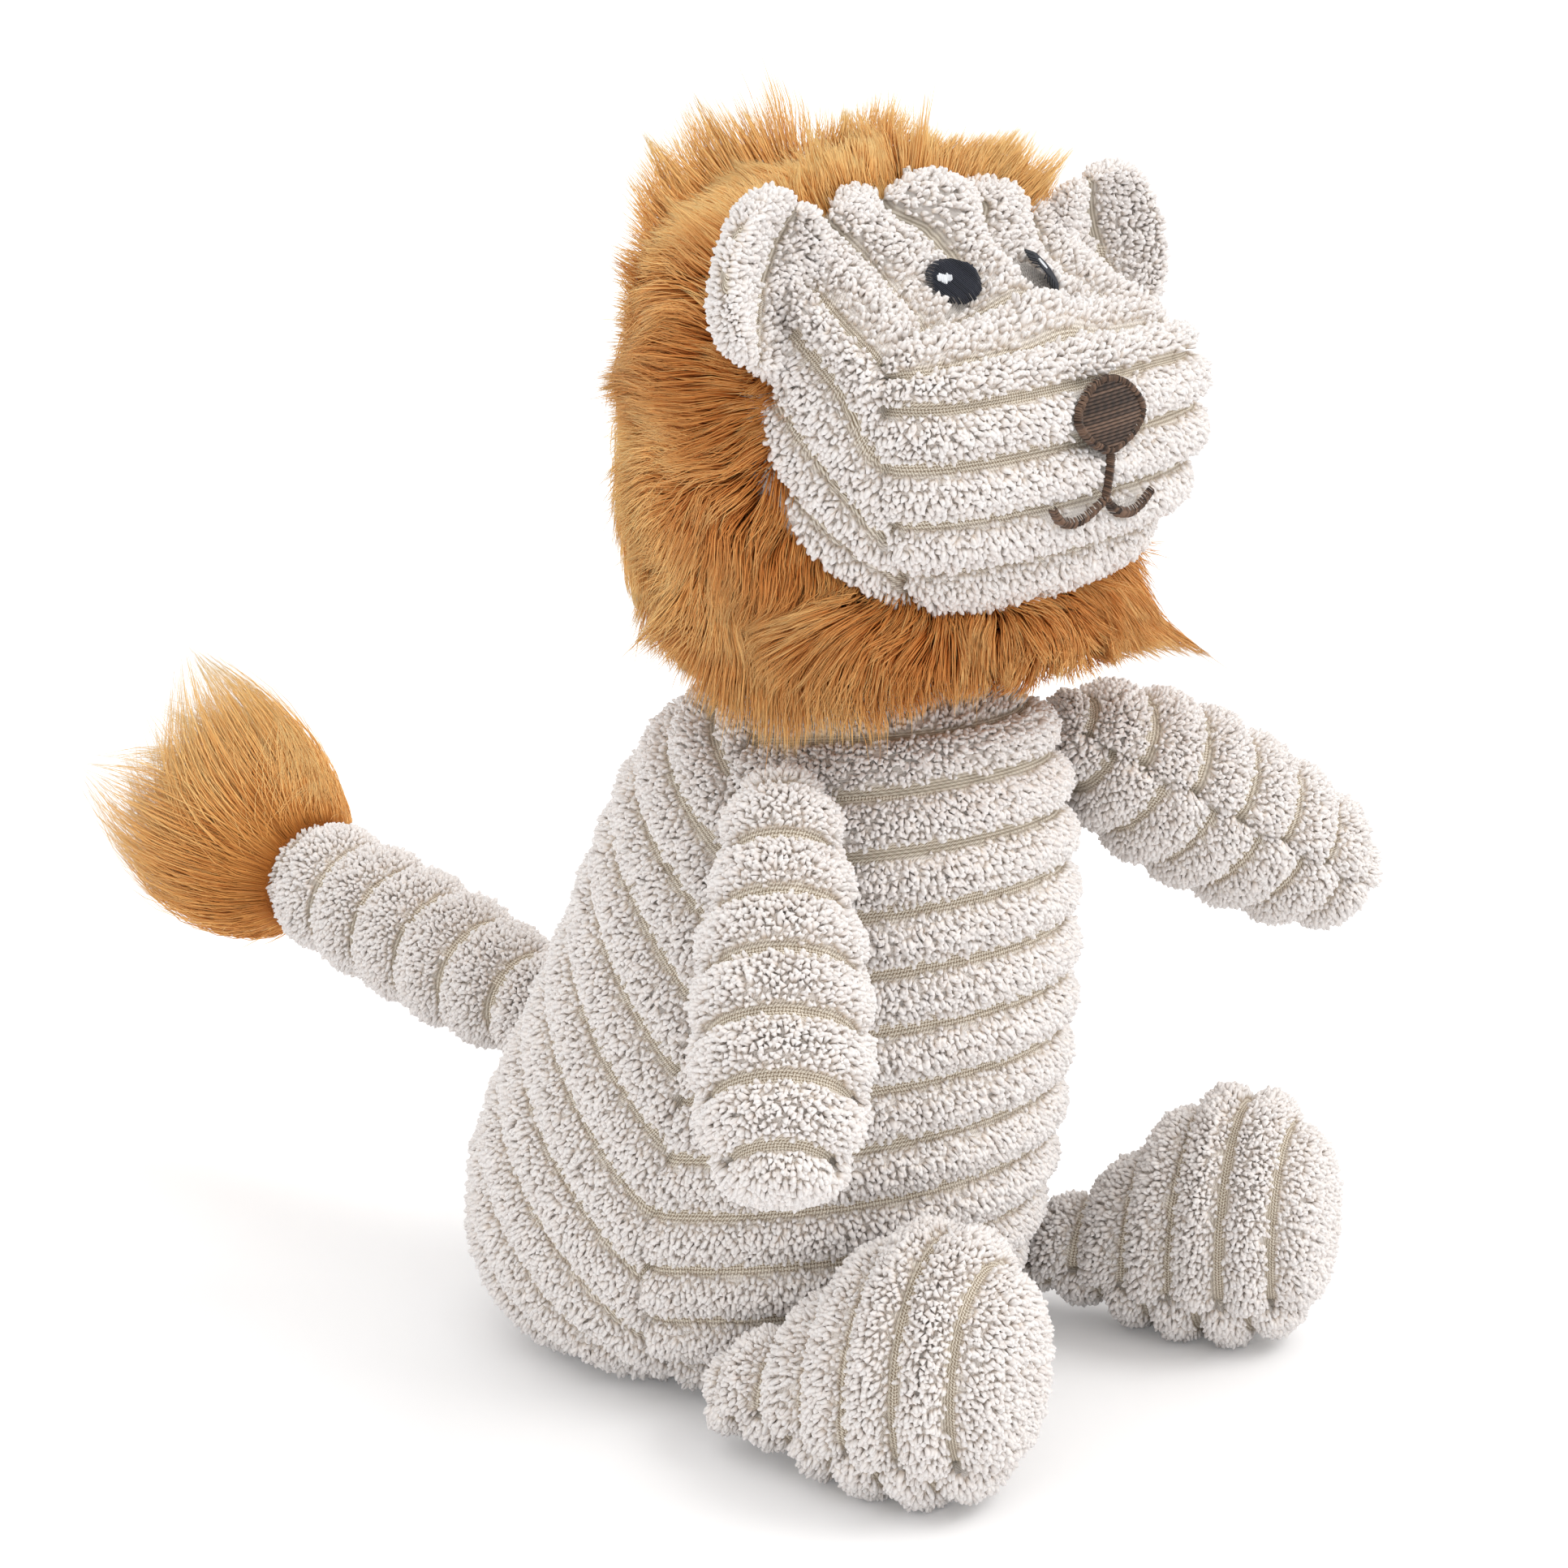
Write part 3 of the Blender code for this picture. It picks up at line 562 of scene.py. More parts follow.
class Bench:
    """A node tree that is filled one node at a time."""

    def __init__(self, tree: bpy.types.NodeTree) -> None:
        """Empties the tree."""
        self.tree = tree
        tree.nodes.clear()

    def add(
        self, kind: str, settings: Optional[dict] = None, sockets: Optional[dict] = None
    ) -> bpy.types.Node:
        """A new node.

        Args:
            kind: The node's class after "ShaderNode".
            settings: Its properties.
            sockets: Values or output sockets for its inputs, by name or number.

        Returns:
            The node.
        """
        node = self.tree.nodes.new("ShaderNode" + kind if not kind.startswith("NodeGroup") else kind)
        for key, value in (settings or {}).items():
            setattr(node, key, value)
        for key, value in (sockets or {}).items():
            if isinstance(value, bpy.types.NodeSocket):
                self.tree.links.new(value, node.inputs[key])
            else:
                node.inputs[key].default_value = value
        return node

    def math(self, operation: str, *values: object) -> bpy.types.NodeSocket:
        """The result of a Math node on one value or more."""
        return self.add("Math", {"operation": operation}, dict(enumerate(values))).outputs[0]

    def mix(self, share: object, first: object, second: object, blend: str = "MIX") -> bpy.types.NodeSocket:
        """Two colours mixed by a share."""
        node = self.add("Mix", {"data_type": "RGBA", "blend_type": blend}, {0: share, 6: first, 7: second})
        return node.outputs[2]

    def value(self, name: str) -> bpy.types.NodeSocket:
        """A number stored on the mesh."""
        return self.add("Attribute", {"attribute_name": name}).outputs["Fac"]


@dataclass(frozen=True)
class EffectGroup:
    """A shared surface effect: a node group with named inputs and outputs."""

    name: str
    inputs: tuple[tuple[str, str, object], ...]
    outputs: tuple[tuple[str, str], ...]
    fill: Callable[[Bench, bpy.types.Node, bpy.types.Node], None]

    def tree(self) -> bpy.types.NodeTree:
        """The group, built on first use."""
        found = bpy.data.node_groups.get(self.name)
        if found:
            return found
        tree = bpy.data.node_groups.new(self.name, "ShaderNodeTree")
        for name, kind, default in self.inputs:
            tree.interface.new_socket(name, in_out="INPUT", socket_type=kind).default_value = default
        for name, kind in self.outputs:
            tree.interface.new_socket(name, in_out="OUTPUT", socket_type=kind)
        bench = Bench(tree)
        self.fill(bench, tree.nodes.new("NodeGroupInput"), tree.nodes.new("NodeGroupOutput"))
        return tree

    def place(self, bench: Bench, sockets: dict) -> bpy.types.Node:
        """The group as a node in a material."""
        return bench.add("Group", {"node_tree": self.tree()}, sockets)


def fill_weave(bench: Bench, entry: bpy.types.Node, leave: bpy.types.Node) -> None:
    """A plain weave: round threads over and under each other."""
    parts = bench.add("SeparateXYZ", None, {0: entry.outputs["Place"]}).outputs
    turns = [bench.math("DIVIDE", parts[i], entry.outputs["Pitch"]) for i in (0, 1)]
    waves = [bench.math("SINE", bench.math("MULTIPLY", turn, math.pi)) for turn in turns]
    rounds = [bench.math("ABSOLUTE", wave) for wave in waves]
    steps = bench.math("ADD", *[bench.math("FLOOR", turn) for turn in turns])
    over = bench.math("PINGPONG", steps, 1.0)
    warp = bench.math("MULTIPLY", rounds[0], bench.math("MULTIPLY_ADD", over, 0.45, 0.55))
    weft = bench.math("MULTIPLY", rounds[1], bench.math("MULTIPLY_ADD", over, -0.45, 1.0))
    height = bench.math("MAXIMUM", warp, weft)
    bench.tree.links.new(height, leave.inputs["Height"])


def fill_mottle(bench: Bench, entry: bpy.types.Node, leave: bpy.types.Node) -> None:
    """Soft uneven patches over a finer speckle."""
    place, scale = entry.outputs["Place"], entry.outputs["Scale"]
    broad = bench.add("TexNoise", None, {"Vector": place, "Scale": scale, "Detail": 2.0}).outputs[0]
    finer = bench.math("MULTIPLY", scale, 9.0)
    speck = bench.add("TexNoise", None, {"Vector": place, "Scale": finer, "Detail": 3.0}).outputs[0]
    both = bench.math("ADD", bench.math("MULTIPLY", broad, 0.6), bench.math("MULTIPLY", speck, 0.4))
    bench.tree.links.new(both, leave.inputs["Value"])


WEAVE = EffectGroup(
    "plain_weave",
    (("Place", "NodeSocketVector", (0.0, 0.0, 0.0)), ("Pitch", "NodeSocketFloat", 0.55)),
    (("Height", "NodeSocketFloat"),),
    fill_weave,
)
MOTTLE = EffectGroup(
    "fibre_mottle",
    (("Place", "NodeSocketVector", (0.0, 0.0, 0.0)), ("Scale", "NodeSocketFloat", 60.0)),
    (("Value", "NodeSocketFloat"),),
    fill_mottle,
)


@dataclass(frozen=True)
class Finish:
    """What every material of the lion has: a name, a roughness and a soft sheen."""

    name: str
    roughness: float
    sheen: float

    def colour(self, bench: Bench) -> bpy.types.NodeSocket:
        """The colour over the surface."""
        raise NotImplementedError

    def relief(self, bench: Bench) -> Optional[bpy.types.NodeSocket]:
        """The fine relief as a normal, or nothing."""
        return None

    def material(self) -> bpy.types.Material:
        """The material, built on first use."""
        found = bpy.data.materials.get(self.name)
        if found:
            return found
        made = bpy.data.materials.new(self.name)
        made.use_nodes = True
        bench = Bench(made.node_tree)
        surface = {"Roughness": self.roughness, "Sheen Weight": self.sheen, "Sheen Roughness": 0.5}
        shader = bench.add("BsdfPrincipled", None, surface)
        shader.inputs["Specular IOR Level"].default_value = 0.25
        bench.tree.links.new(self.colour(bench), shader.inputs["Base Color"])
        normal = self.relief(bench)
        if normal is not None:
            bench.tree.links.new(normal, shader.inputs["Normal"])
        bench.add("OutputMaterial", None, {"Surface": shader.outputs[0]})
        return made


@dataclass(frozen=True)
class PileFinish(Finish):
    """Standing pile or hair, with painted shade at the root and tips tinted for how the lamp lights them, and
    its own tint for every tuft.
    """

    root: Triple
    body: Triple
    tip: Triple
    shade: Triple
    shade_share: float
    tip_start: float = 0.545

    def colour(self, bench: Bench) -> bpy.types.NodeSocket:
        """From the painted shade at the root to the tip, then multiplied towards the shade colour by the
        tuft's tint.
        """
        # The root's colour is painted shade among the fibres, and the tip's is set for the lamp's light on
        # the tips
        rise = bench.value("rise")
        low = bench.mix(bench.math("MULTIPLY", rise, 1.9), (*self.root, 1), (*self.body, 1))
        slope = 1 / (1 - self.tip_start)
        high = bench.mix(bench.math("MULTIPLY_ADD", rise, slope, 1 - slope), low, (*self.tip, 1))
        for node in [n for n in bench.tree.nodes if n.type == "MIX"]:
            node.clamp_factor = True
        share = bench.math("MULTIPLY", bench.value("tint"), self.shade_share)
        return bench.mix(share, high, (*self.shade, 1), "MULTIPLY")


@dataclass(frozen=True)
class ClothFinish(Finish):
    """Ribbed cloth under the pile: bare plain weave in the grooves, short fuzz on the ribs."""

    fuzz: Triple
    thread: Triple
    # The colour between the weave's threads, painted dark as the shade that falls there
    gap: Triple
    weave_pitch: float = 0.62

    def place(self, bench: Bench) -> bpy.types.NodeSocket:
        """Millimetres along and across the ribs."""
        return bench.add("UVMap", {"uv_map": "cloth"}).outputs[0]

    def weave(self, bench: Bench) -> bpy.types.NodeSocket:
        """The height of the weave."""
        return WEAVE.place(bench, {"Place": self.place(bench), "Pitch": self.weave_pitch}).outputs[0]

    def colour(self, bench: Bench) -> bpy.types.NodeSocket:
        """Threads with painted shade in the gaps between them in the grooves, mottled fuzz elsewhere."""
        # The weave's height lights the threads' tops and leaves painted shade between them
        height = bench.math("POWER", self.weave(bench), 1.5)
        cloth = bench.mix(height, (*self.gap, 1), (*self.thread, 1))
        speck = MOTTLE.place(bench, {"Place": self.place(bench), "Scale": 0.35}).outputs[0]
        fuzz = bench.mix(speck, (*[c * 0.86 for c in self.fuzz], 1), (*self.fuzz, 1))
        return bench.mix(bench.value("groove"), fuzz, cloth)

    def relief(self, bench: Bench) -> bpy.types.NodeSocket:
        """Bumps of the weave and the fuzz."""
        speck = MOTTLE.place(bench, {"Place": self.place(bench), "Scale": 0.6}).outputs[0]
        height = bench.math("ADD", self.weave(bench), speck)
        return bench.add("Bump", None, {"Strength": 0.8, "Distance": 0.3 * MM, "Height": height}).outputs[0]


@dataclass(frozen=True)
class ThreadFinish(Finish):
    """Embroidery thread: a little gloss, and each stitch its own shade, with painted highlights and shade
    where the stitching adds them.
    """

    dark: Triple
    light: Triple

    def colour(self, bench: Bench) -> bpy.types.NodeSocket:
        """Between the two shades, by the stitch's tint."""
        return bench.mix(bench.value("tint"), (*self.dark, 1), (*self.light, 1))

    def relief(self, bench: Bench) -> bpy.types.NodeSocket:
        """The fine twist of the yarn."""
        place = bench.add("TexCoord").outputs["Object"]
        speck = MOTTLE.place(bench, {"Place": place, "Scale": 900.0}).outputs[0]
        return bench.add("Bump", None, {"Strength": 0.35, "Distance": 0.15 * MM, "Height": speck}).outputs[0]


@dataclass(frozen=True)
class GroundFinish(Finish):
    """The real backing under the long pile, coloured dark as painted shade deep in the fur."""

    dark: Triple
    light: Triple

    def colour(self, bench: Bench) -> bpy.types.NodeSocket:
        """Mottled dark brown, painted shade deep in the fur."""
        place = bench.add("TexCoord").outputs["Object"]
        speck = MOTTLE.place(bench, {"Place": place, "Scale": 300.0}).outputs[0]
        return bench.mix(speck, (*self.dark, 1), (*self.light, 1))

    def relief(self, bench: Bench) -> bpy.types.NodeSocket:
        """Coarse fibres."""
        place = bench.add("TexCoord").outputs["Object"]
        speck = MOTTLE.place(bench, {"Place": place, "Scale": 500.0}).outputs[0]
        return bench.add("Bump", None, {"Strength": 0.9, "Distance": 0.6 * MM, "Height": speck}).outputs[0]


# Painted light and shade: the warm root paints the warm shade among the tufts, kept bright to lift their
# darkness, and the tip is dimmed so that lit tips don't clip
CREAM_PILE = PileFinish(
    "cream_pile", 0.95, 0.0,
    root=(0.97, 0.87, 0.77), body=(0.96, 0.918, 0.892), tip=(0.88, 0.85, 0.84),
    shade=(0.97, 0.933, 0.905), shade_share=0.6,
)
# Its gap colour is painted shade between the threads of the bare weave
CREAM_CLOTH = ClothFinish(
    "cream_cloth", 0.95, 0.0, fuzz=(0.96, 0.90, 0.85), thread=(0.95, 0.88, 0.76), gap=(0.27, 0.18, 0.10)
)
# Painted light and shade: the dark root is painted shade deep in the hair, and the pale golden tip is painted
# light glowing through the hair's ends
GINGER_FUR = PileFinish(
    "ginger_fur", 0.5, 0.0,
    root=(0.54, 0.19, 0.035), body=(1.0, 0.52, 0.15), tip=(1.0, 0.74, 0.34),
    shade=(0.70, 0.43, 0.25), shade_share=0.9, tip_start=0.34,
)
# The mane's backing: its dark brown is painted shade seen between the hairs
GINGER_GROUND = GroundFinish("ginger_ground", 0.9, 0.0, dark=(0.36, 0.13, 0.03), light=(0.62, 0.28, 0.07))
BLACK_THREAD = ThreadFinish("black_thread", 0.38, 0.1, dark=(0.006, 0.008, 0.014), light=(0.03, 0.034, 0.05))
# Its light colour also carries the painted highlights of the nose's stitches
BROWN_THREAD = ThreadFinish("brown_thread", 0.42, 0.1, dark=(0.022, 0.012, 0.008), light=(0.22, 0.13, 0.085))
WHITE_THREAD = ThreadFinish("white_thread", 0.45, 0.1, dark=(0.72, 0.74, 0.78), light=(0.90, 0.92, 0.95))


@dataclass
class Tufts:
    """Short blunt tufts of pile."""

    height: float = 1.75 * MM
    # Each ring's radius, its level as a share of the height, and what is stored as its rise
    rings: Sequence[Triple] = ((0.54 * MM, -0.19, 0.0), (0.67 * MM, 0.46, 0.55), (0.47 * MM, 0.86, 0.9))

    def mesh(
        self, points: Array, normals: Array, leans: Array, sizes: Array, rng: np.random.Generator
    ) -> MeshData:
        """The tufts' mesh.

        Args:
            points: Where they grow.
            normals: The cloth's normals there.
            leans: How each leans, as a vector added to the normal.
            sizes: Each tuft's size, about 1.
            rng: The source of the disorder.

        Returns:
            Points, faces, each tuft's tint and the rise from root to tip.
        """
        count = len(points)
        way = unit(normals + leans + rng.normal(0, 0.24, (count, 3)))
        sides = side_pair(way, rng.uniform(0, 2 * math.pi, count))
        height = (self.height * sizes * rng.uniform(0.78, 1.2, count))[:, None]
        plump = (sizes * rng.uniform(0.85, 1.18, count))[:, None]
        bend = unit(leans + rng.normal(0, 0.5, (count, 3))) * height * 0.2
        rows = []
        for radius, level, _ in self.rings:
            middle = points + way * height * level + bend * max(level, 0.0) ** 2
            rows += ring_points(middle, sides, radius * plump)
        rows.append(points + way * height + bend)
        ends = [(6, 7, 9), (7, 8, 9), (8, 6, 9), (2, 1, 0)]
        faces = [repeated(tube_faces(0, 3, 3), count, 10), repeated(ends, count, 10)]
        rise = np.tile(np.repeat([*(ring[2] for ring in self.rings), 1.0], (3, 3, 3, 1)), count)
        tint = np.repeat(rng.random(count) ** 1.5, 10)
        return MeshData(np.stack(rows, 1).reshape(-1, 3), faces, {"rise": rise, "tint": tint})


@dataclass
class Strands:
    """Long tapering hairs."""

    width: float = 0.30 * MM
    shares: Sequence[float] = (1.0, 0.92, 0.74, 0.46)

    def mesh(self, paths: Array, sizes: Array, tints: Array, rng: np.random.Generator) -> MeshData:
        """The hairs' mesh.

        Args:
            paths: Five points for every hair, from root to tip.
            sizes: Each hair's width, about 1.
            tints: Each hair's tint from 0 to 1.
            rng: The source of the disorder.

        Returns:
            Points, faces, each hair's tint and the rise from root to tip.
        """
        count, rings = len(paths), len(self.shares)
        sides = side_pair(unit(paths[:, -1] - paths[:, 0]), rng.uniform(0, 2 * math.pi, count))
        rows = []
        for ring, share in enumerate(self.shares):
            rows += ring_points(paths[:, ring], sides, (self.width / 2 * sizes * share)[:, None])
        rows.append(paths[:, -1])
        tip, last = 3 * rings, 3 * rings - 3
        ends = [(last, last + 1, tip), (last + 1, last + 2, tip), (last + 2, last, tip), (2, 1, 0)]
        faces = [repeated(tube_faces(0, rings, 3), count, tip + 1), repeated(ends, count, tip + 1)]
        rise = np.tile(np.append(np.repeat(np.arange(rings) / rings, 3), 1.0), count)
        values = {"rise": rise, "tint": np.repeat(tints, tip + 1)}
        return MeshData(np.stack(rows, 1).reshape(-1, 3), faces, values)


@dataclass
class Cover:
    """A stuffed piece's ribbed cloth and the pile that stands on its ribs."""

    name: str
    form: SoftForm
    ribs: RibField
    seed: int
    keep: Optional[Callable[[Array], Array]] = None
    profile: RibProfile = field(default_factory=RibProfile)
    tufts: Tufts = field(default_factory=Tufts)
    grid: Pair = (0.85 * MM, 1.15 * MM)
    spacing: float = 1.04 * MM
    nap: Triple = (0.0, 0.0, -0.32)
    floor: float = 0.4 * MM
    bare_below: float = 1.2 * MM
    # How far beside a groove's edge the first tufts stand, as a share of its half width
    edge_span: Pair = (0.92, 1.3)

    def lift(self, points: Array, reading: RibReading) -> Array:
        """How far the cloth lies from the outline."""
        return self.profile.lift(reading) + self.ribs.swell(points)

    def settle(self, points: Array) -> Array:
        """Keeps points off the floor."""
        points[:, 2] = np.maximum(points[:, 2], self.floor)
        return points

    def cloth(self) -> bpy.types.Object:
        """The closed ribbed cloth, with its place on the weave stored in millimetres.

        Returns:
            The cloth's object.
        """
        levels = self.form.levels(self.grid[0])
        samples = np.linspace(0, self.form.sides, RING_SAMPLES)
        ring = self.form.evaluate(np.full(RING_SAMPLES, self.form.last / 2), samples)[0]
        columns = int(np.linalg.norm(np.diff(ring, axis=0), axis=1).sum() / self.grid[1])
        inner = levels[1:-1]
        t = np.linspace(0, self.form.sides, columns, endpoint=False)
        points, normals = self.form.evaluate(np.repeat(inner, columns), np.tile(t, len(inner)))
        poles, pole_normals = self.form.evaluate(levels[[0, -1]], np.zeros(2))
        points, normals = np.concatenate([points, poles]), np.concatenate([normals, pole_normals])
        reading = self.ribs.read(points, normals)
        half = self.profile.groove_half_width
        groove = 1 - smooth(half, half * 2, reading.distance)
        placed = self.settle(points + normals * self.lift(points, reading)[:, None])
        rows = len(inner)
        grid = placed[: rows * columns].reshape(rows, columns, 3)
        run = np.linalg.norm(np.diff(grid, axis=1, append=grid[:, :1]), axis=2)
        around = np.concatenate([np.zeros((rows, 1)), np.cumsum(run, 1)], 1) / MM
        across = reading.signed / MM
        quads = grid_faces(rows, columns)
        quad_uv = np.stack([around[:-1, :-1], around[:-1, 1:], around[1:, 1:], around[1:, :-1]], -1)
        ends = np.arange(columns)
        after = (ends + 1) % columns
        low = np.stack([np.full(columns, rows * columns), after, ends], 1)
        top = (rows - 1) * columns
        high = np.stack([np.full(columns, rows * columns + 1), top + ends, top + after], 1)
        loops = np.concatenate([quads.ravel(), low.ravel(), high.ravel()])
        u = np.concatenate([
            quad_uv.ravel(),
            np.stack([around[0, ends], around[0, ends + 1], around[0, ends]], 1).ravel(),
            np.stack([around[-1, ends], around[-1, ends], around[-1, ends + 1]], 1).ravel(),
        ])
        faces = [quads, np.concatenate([low, high])]
        data = MeshData(placed, faces, {"groove": groove}, np.stack([u, across[loops]], 1))
        made = data.make(self.name + "_cloth")
        made.data.materials.append(CREAM_CLOTH.material())
        return made

    def pile(self) -> list[bpy.types.Object]:
        """The tufts, in as many pieces as their number needs.

        Returns:
            The pile's objects.
        """
        rng = np.random.default_rng(self.seed)
        s, t = self.form.scatter(self.spacing, rng)
        outline, normals = self.form.evaluate(s, t)
        reading = self.ribs.read(outline, normals)
        points = outline + normals * self.lift(outline, reading)[:, None]
        edge = self.profile.groove_half_width * rng.uniform(*self.edge_span, len(s))
        stay = (reading.distance > edge) & (points[:, 2] > self.bare_below)
        if self.keep is not None:
            stay &= self.keep(outline)
        outline, normals, points = outline[stay], normals[stay], points[stay]
        share = np.clip(reading.distance / reading.half, 0, 1)[stay]
        leans = -reading.uphill[stay] * (0.12 * (1 - share) ** 1.5)[:, None]
        leans = leans + flat_on(np.array([self.nap]), normals)
        sizes = 0.78 + 0.27 * share
        made = []
        count = max(1, math.ceil(len(points) / PIECE_TUFT_LIMIT))
        order = np.array_split(np.argsort(outline[:, 1], kind="stable"), count)
        for number, part in enumerate(order, 1):
            data = self.tufts.mesh(points[part], normals[part], leans[part], sizes[part], rng)
            self.settle(data.points)
            piece = data.make(f"{self.name}_pile" + (f"_{number}" if count > 1 else ""))
            piece.data.materials.append(CREAM_PILE.material())
            made.append(piece)
        LOG.info("%s: %d tufts in %d pieces", self.name, len(points), count)
        return made


def cage_scale(sides: int) -> float:
    """How much wider than its section a round spline cage of so many sides has to be."""
    return 1 / (1 - (1 - math.cos(2 * math.pi / sides)) / 3)


def power(values: Array, exponent: float) -> Array:
    """Values raised to exponent, with their sign kept."""
    return np.copysign(np.abs(values) ** exponent, values)


def level_ring(
    z: float, half_width: float, centre_y: float, reach: Pair, squareness: Pair, sides: int = 12
) -> Array:
    """Cage points round one level section.

    Args:
        z: Its height.
        half_width: Half its width.
        centre_y: Where it is widest.
        reach: How far it comes forward and goes back from there.
        squareness: The front's and the back's, 2 for an ellipse.
        sides: How many points.

    Returns:
        The points, one a row.
    """
    angle = 2 * math.pi * np.arange(sides) / sides
    back = np.sin(angle) > 1e-9
    square = np.where(back, squareness[1], squareness[0])
    scale = cage_scale(sides)
    x = half_width * scale * power(np.cos(angle), 2 / square)
    y = np.where(back, reach[1], reach[0]) * scale * power(np.sin(angle), 2 / square)
    return np.stack([x, centre_y + y, np.full(sides, z)], 1)


@dataclass
class Body:
    """The pear-shaped body."""

    height: float = 139.8 * MM
    half_width: float = 55.0 * MM
    front: float = 67.0 * MM
    back: float = 58.5 * MM
    widest: float = 0.43
    squareness: Pair = (2.25, 2.25)
    # Height, half width, front reach and back reach, as shares
    sections: Sequence[tuple[float, ...]] = (
        (0.000, 0.60, 0.40, 0.58), (0.020, 0.80, 0.60, 0.80), (0.090, 0.94, 0.78, 0.95),
        (0.220, 1.00, 0.88, 0.985), (0.380, 0.97, 0.945, 0.85), (0.560, 0.90, 0.99, 0.59),
        (0.740, 0.82, 1.00, 0.42), (0.880, 0.73, 0.98, 0.27), (0.955, 0.61, 0.94, 0.14),
        (1.000, 0.46, 0.88, -0.05),
    )

    def form(self) -> SoftForm:
        """The body's outline."""
        rings = []
        for height, width, front, back in self.sections:
            front_y, back_y = -self.front * front, self.back * back
            centre = back_y + (front_y - back_y) * self.widest
            reach, half_width = (centre - front_y, back_y - centre), self.half_width * width
            rings.append(level_ring(self.height * height, half_width, centre, reach, self.squareness))
        return SoftForm(rings)

    def build(self) -> None:
        """Makes the body's cloth and pile, which ride on the torso."""
        cover = Cover("body", self.form(), BodyRibs(), 11)
        cloth = cover.cloth()
        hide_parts("body_skin", "body_stuffing")
        for piece in [cloth, *cover.pile()]:
            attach(piece, "torso")


@dataclass
class Limb:
    """An arm, a leg or the tail: a tube along its own way from a ball at its pivot."""

    name: str
    body: str
    pivot: Triple
    heading: float
    rise: float
    length: float
    root: float
    # Along, half width, half height and lift, as shares of the length and as lengths
    sections: Sequence[tuple[float, float, float, float]]
    first_rib: float
    rib_pitch: float
    seed: int
    seam_level: float = 0.0
    rib_shift: float = 0.5
    blend_span: Pair = (-6 * MM, 14 * MM)
    # Turns from the pivot's axis to the rings of the ball at the root
    root_turns: Pair = (0.66, 1.26)
    nap: Triple = (0.0, 0.0, -0.25)

    def frame(self) -> Matrix:
        """The limb's own frame: +X along it and +Z up."""
        turn = Matrix.Rotation(math.radians(self.heading - 90.0), 4, "Z")
        tilt = Matrix.Rotation(math.radians(-self.rise), 4, "Y")
        return Matrix.Translation(self.pivot) @ turn @ tilt

    def axes(self) -> tuple[Array, Array, Array]:
        """The frame's origin, its way along and its way up."""
        matrix = np.array(self.frame())
        return matrix[:3, 3], matrix[:3, 0], matrix[:3, 2]

    def form(self, sides: int = 6) -> SoftForm:
        """The limb's outline."""
        matrix = np.array(self.frame())
        rows = []
        for turn in self.root_turns:
            radius = self.root * math.sin(turn)
            rows.append((-self.root * math.cos(turn), radius, radius, 0.0))
        rows += [(self.length * along, width, height, lift) for along, width, height, lift in self.sections]
        scale = cage_scale(sides)
        angle = 2 * math.pi * (np.arange(sides) + 0.5) / sides
        rings = []
        for along, width, height, lift in rows:
            across, above = width * scale * np.cos(angle), lift + height * scale * np.sin(angle)
            local = np.stack([np.full(sides, along), across, above], 1)
            rings.append(local @ matrix[:3, :3].T + matrix[:3, 3])
        return SoftForm(rings)

    def build(self) -> None:
        """Makes the limb's cloth and pile."""
        origin, way, up = self.axes()
        ribs = LimbRibs(origin, way, up, self.first_rib, self.rib_pitch, self.seam_level, self.rib_shift)
        cover = Cover(self.name, self.form(), ribs, self.seed, nap=self.nap)
        cloth = cover.cloth()
        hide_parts(f"{self.name}_skin", f"{self.name}_stuffing")
        for piece in [cloth, *cover.pile()]:
            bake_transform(piece)


@dataclass
class Head:
    """The head's rounded wedge with its square muzzle."""

    base: float = 140.15 * MM
    height: float = 91.5 * MM
    half_width: float = 47.0 * MM
    centre_y: float = -40.0 * MM
    front: float = 42.6 * MM
    back: float = 44.0 * MM
    # Height, half width, front reach and back reach as shares, and the front's squareness
    sections: Sequence[tuple[float, ...]] = (
        (0.000, 0.54, 0.45, 0.84, 2.1), (0.140, 0.64, 0.58, 0.85, 2.3), (0.240, 0.85, 0.80, 0.88, 2.9),
        (0.360, 0.96, 0.96, 0.93, 3.8), (0.510, 1.00, 1.00, 1.00, 4.4), (0.650, 1.00, 0.98, 1.00, 4.4),
        (0.730, 0.99, 0.86, 0.96, 4.0), (0.800, 0.97, 0.40, 0.88, 3.2), (0.880, 0.90, 0.22, 0.76, 2.8),
        (0.955, 0.73, 0.13, 0.52, 2.5), (1.000, 0.36, 0.04, 0.22, 2.2),
    )
    face_overlap: float = 3.6 * MM
    # Where the mane meets the face: heights and places along Y
    edge_levels: Sequence[float] = (0.150, 0.1586, 0.163, 0.171, 0.179, 0.190, 0.204, 0.228)
    edge_places: Sequence[float] = (-0.078, -0.0674, -0.0626, -0.0552, -0.0514, -0.0487, -0.0449, -0.041)

    def form(self) -> SoftForm:
        """The head's outline."""
        rings = []
        for height, width, front, back, square in self.sections:
            z = self.base + self.height * height
            reach = (self.front * front, self.back * back)
            rings.append(level_ring(z, self.half_width * width, self.centre_y, reach, (square, 2.0)))
        return SoftForm(rings)

    def behind_edge(self, points: Array) -> Array:
        """How far behind the face's edge each point lies."""
        return points[:, 1] - np.interp(points[:, 2], self.edge_levels, self.edge_places)

    def build(self, bare: Callable[[Array], Array]) -> None:
        """Makes the head's cloth and the face's pile.

        Args:
            bare: Says which points lie under the stitching and carry no pile.
        """
        def keep(points: Array) -> Array:
            """Which points carry the face's pile."""
            return (self.behind_edge(points) < self.face_overlap) & ~bare(points)

        cover = Cover("head", self.form(), HeadRibs(), 23, keep=keep)
        cloth = cover.cloth()
        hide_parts("head_skin", "head_stuffing")
        for piece in [cloth, *cover.pile()]:
            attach(piece, "head")


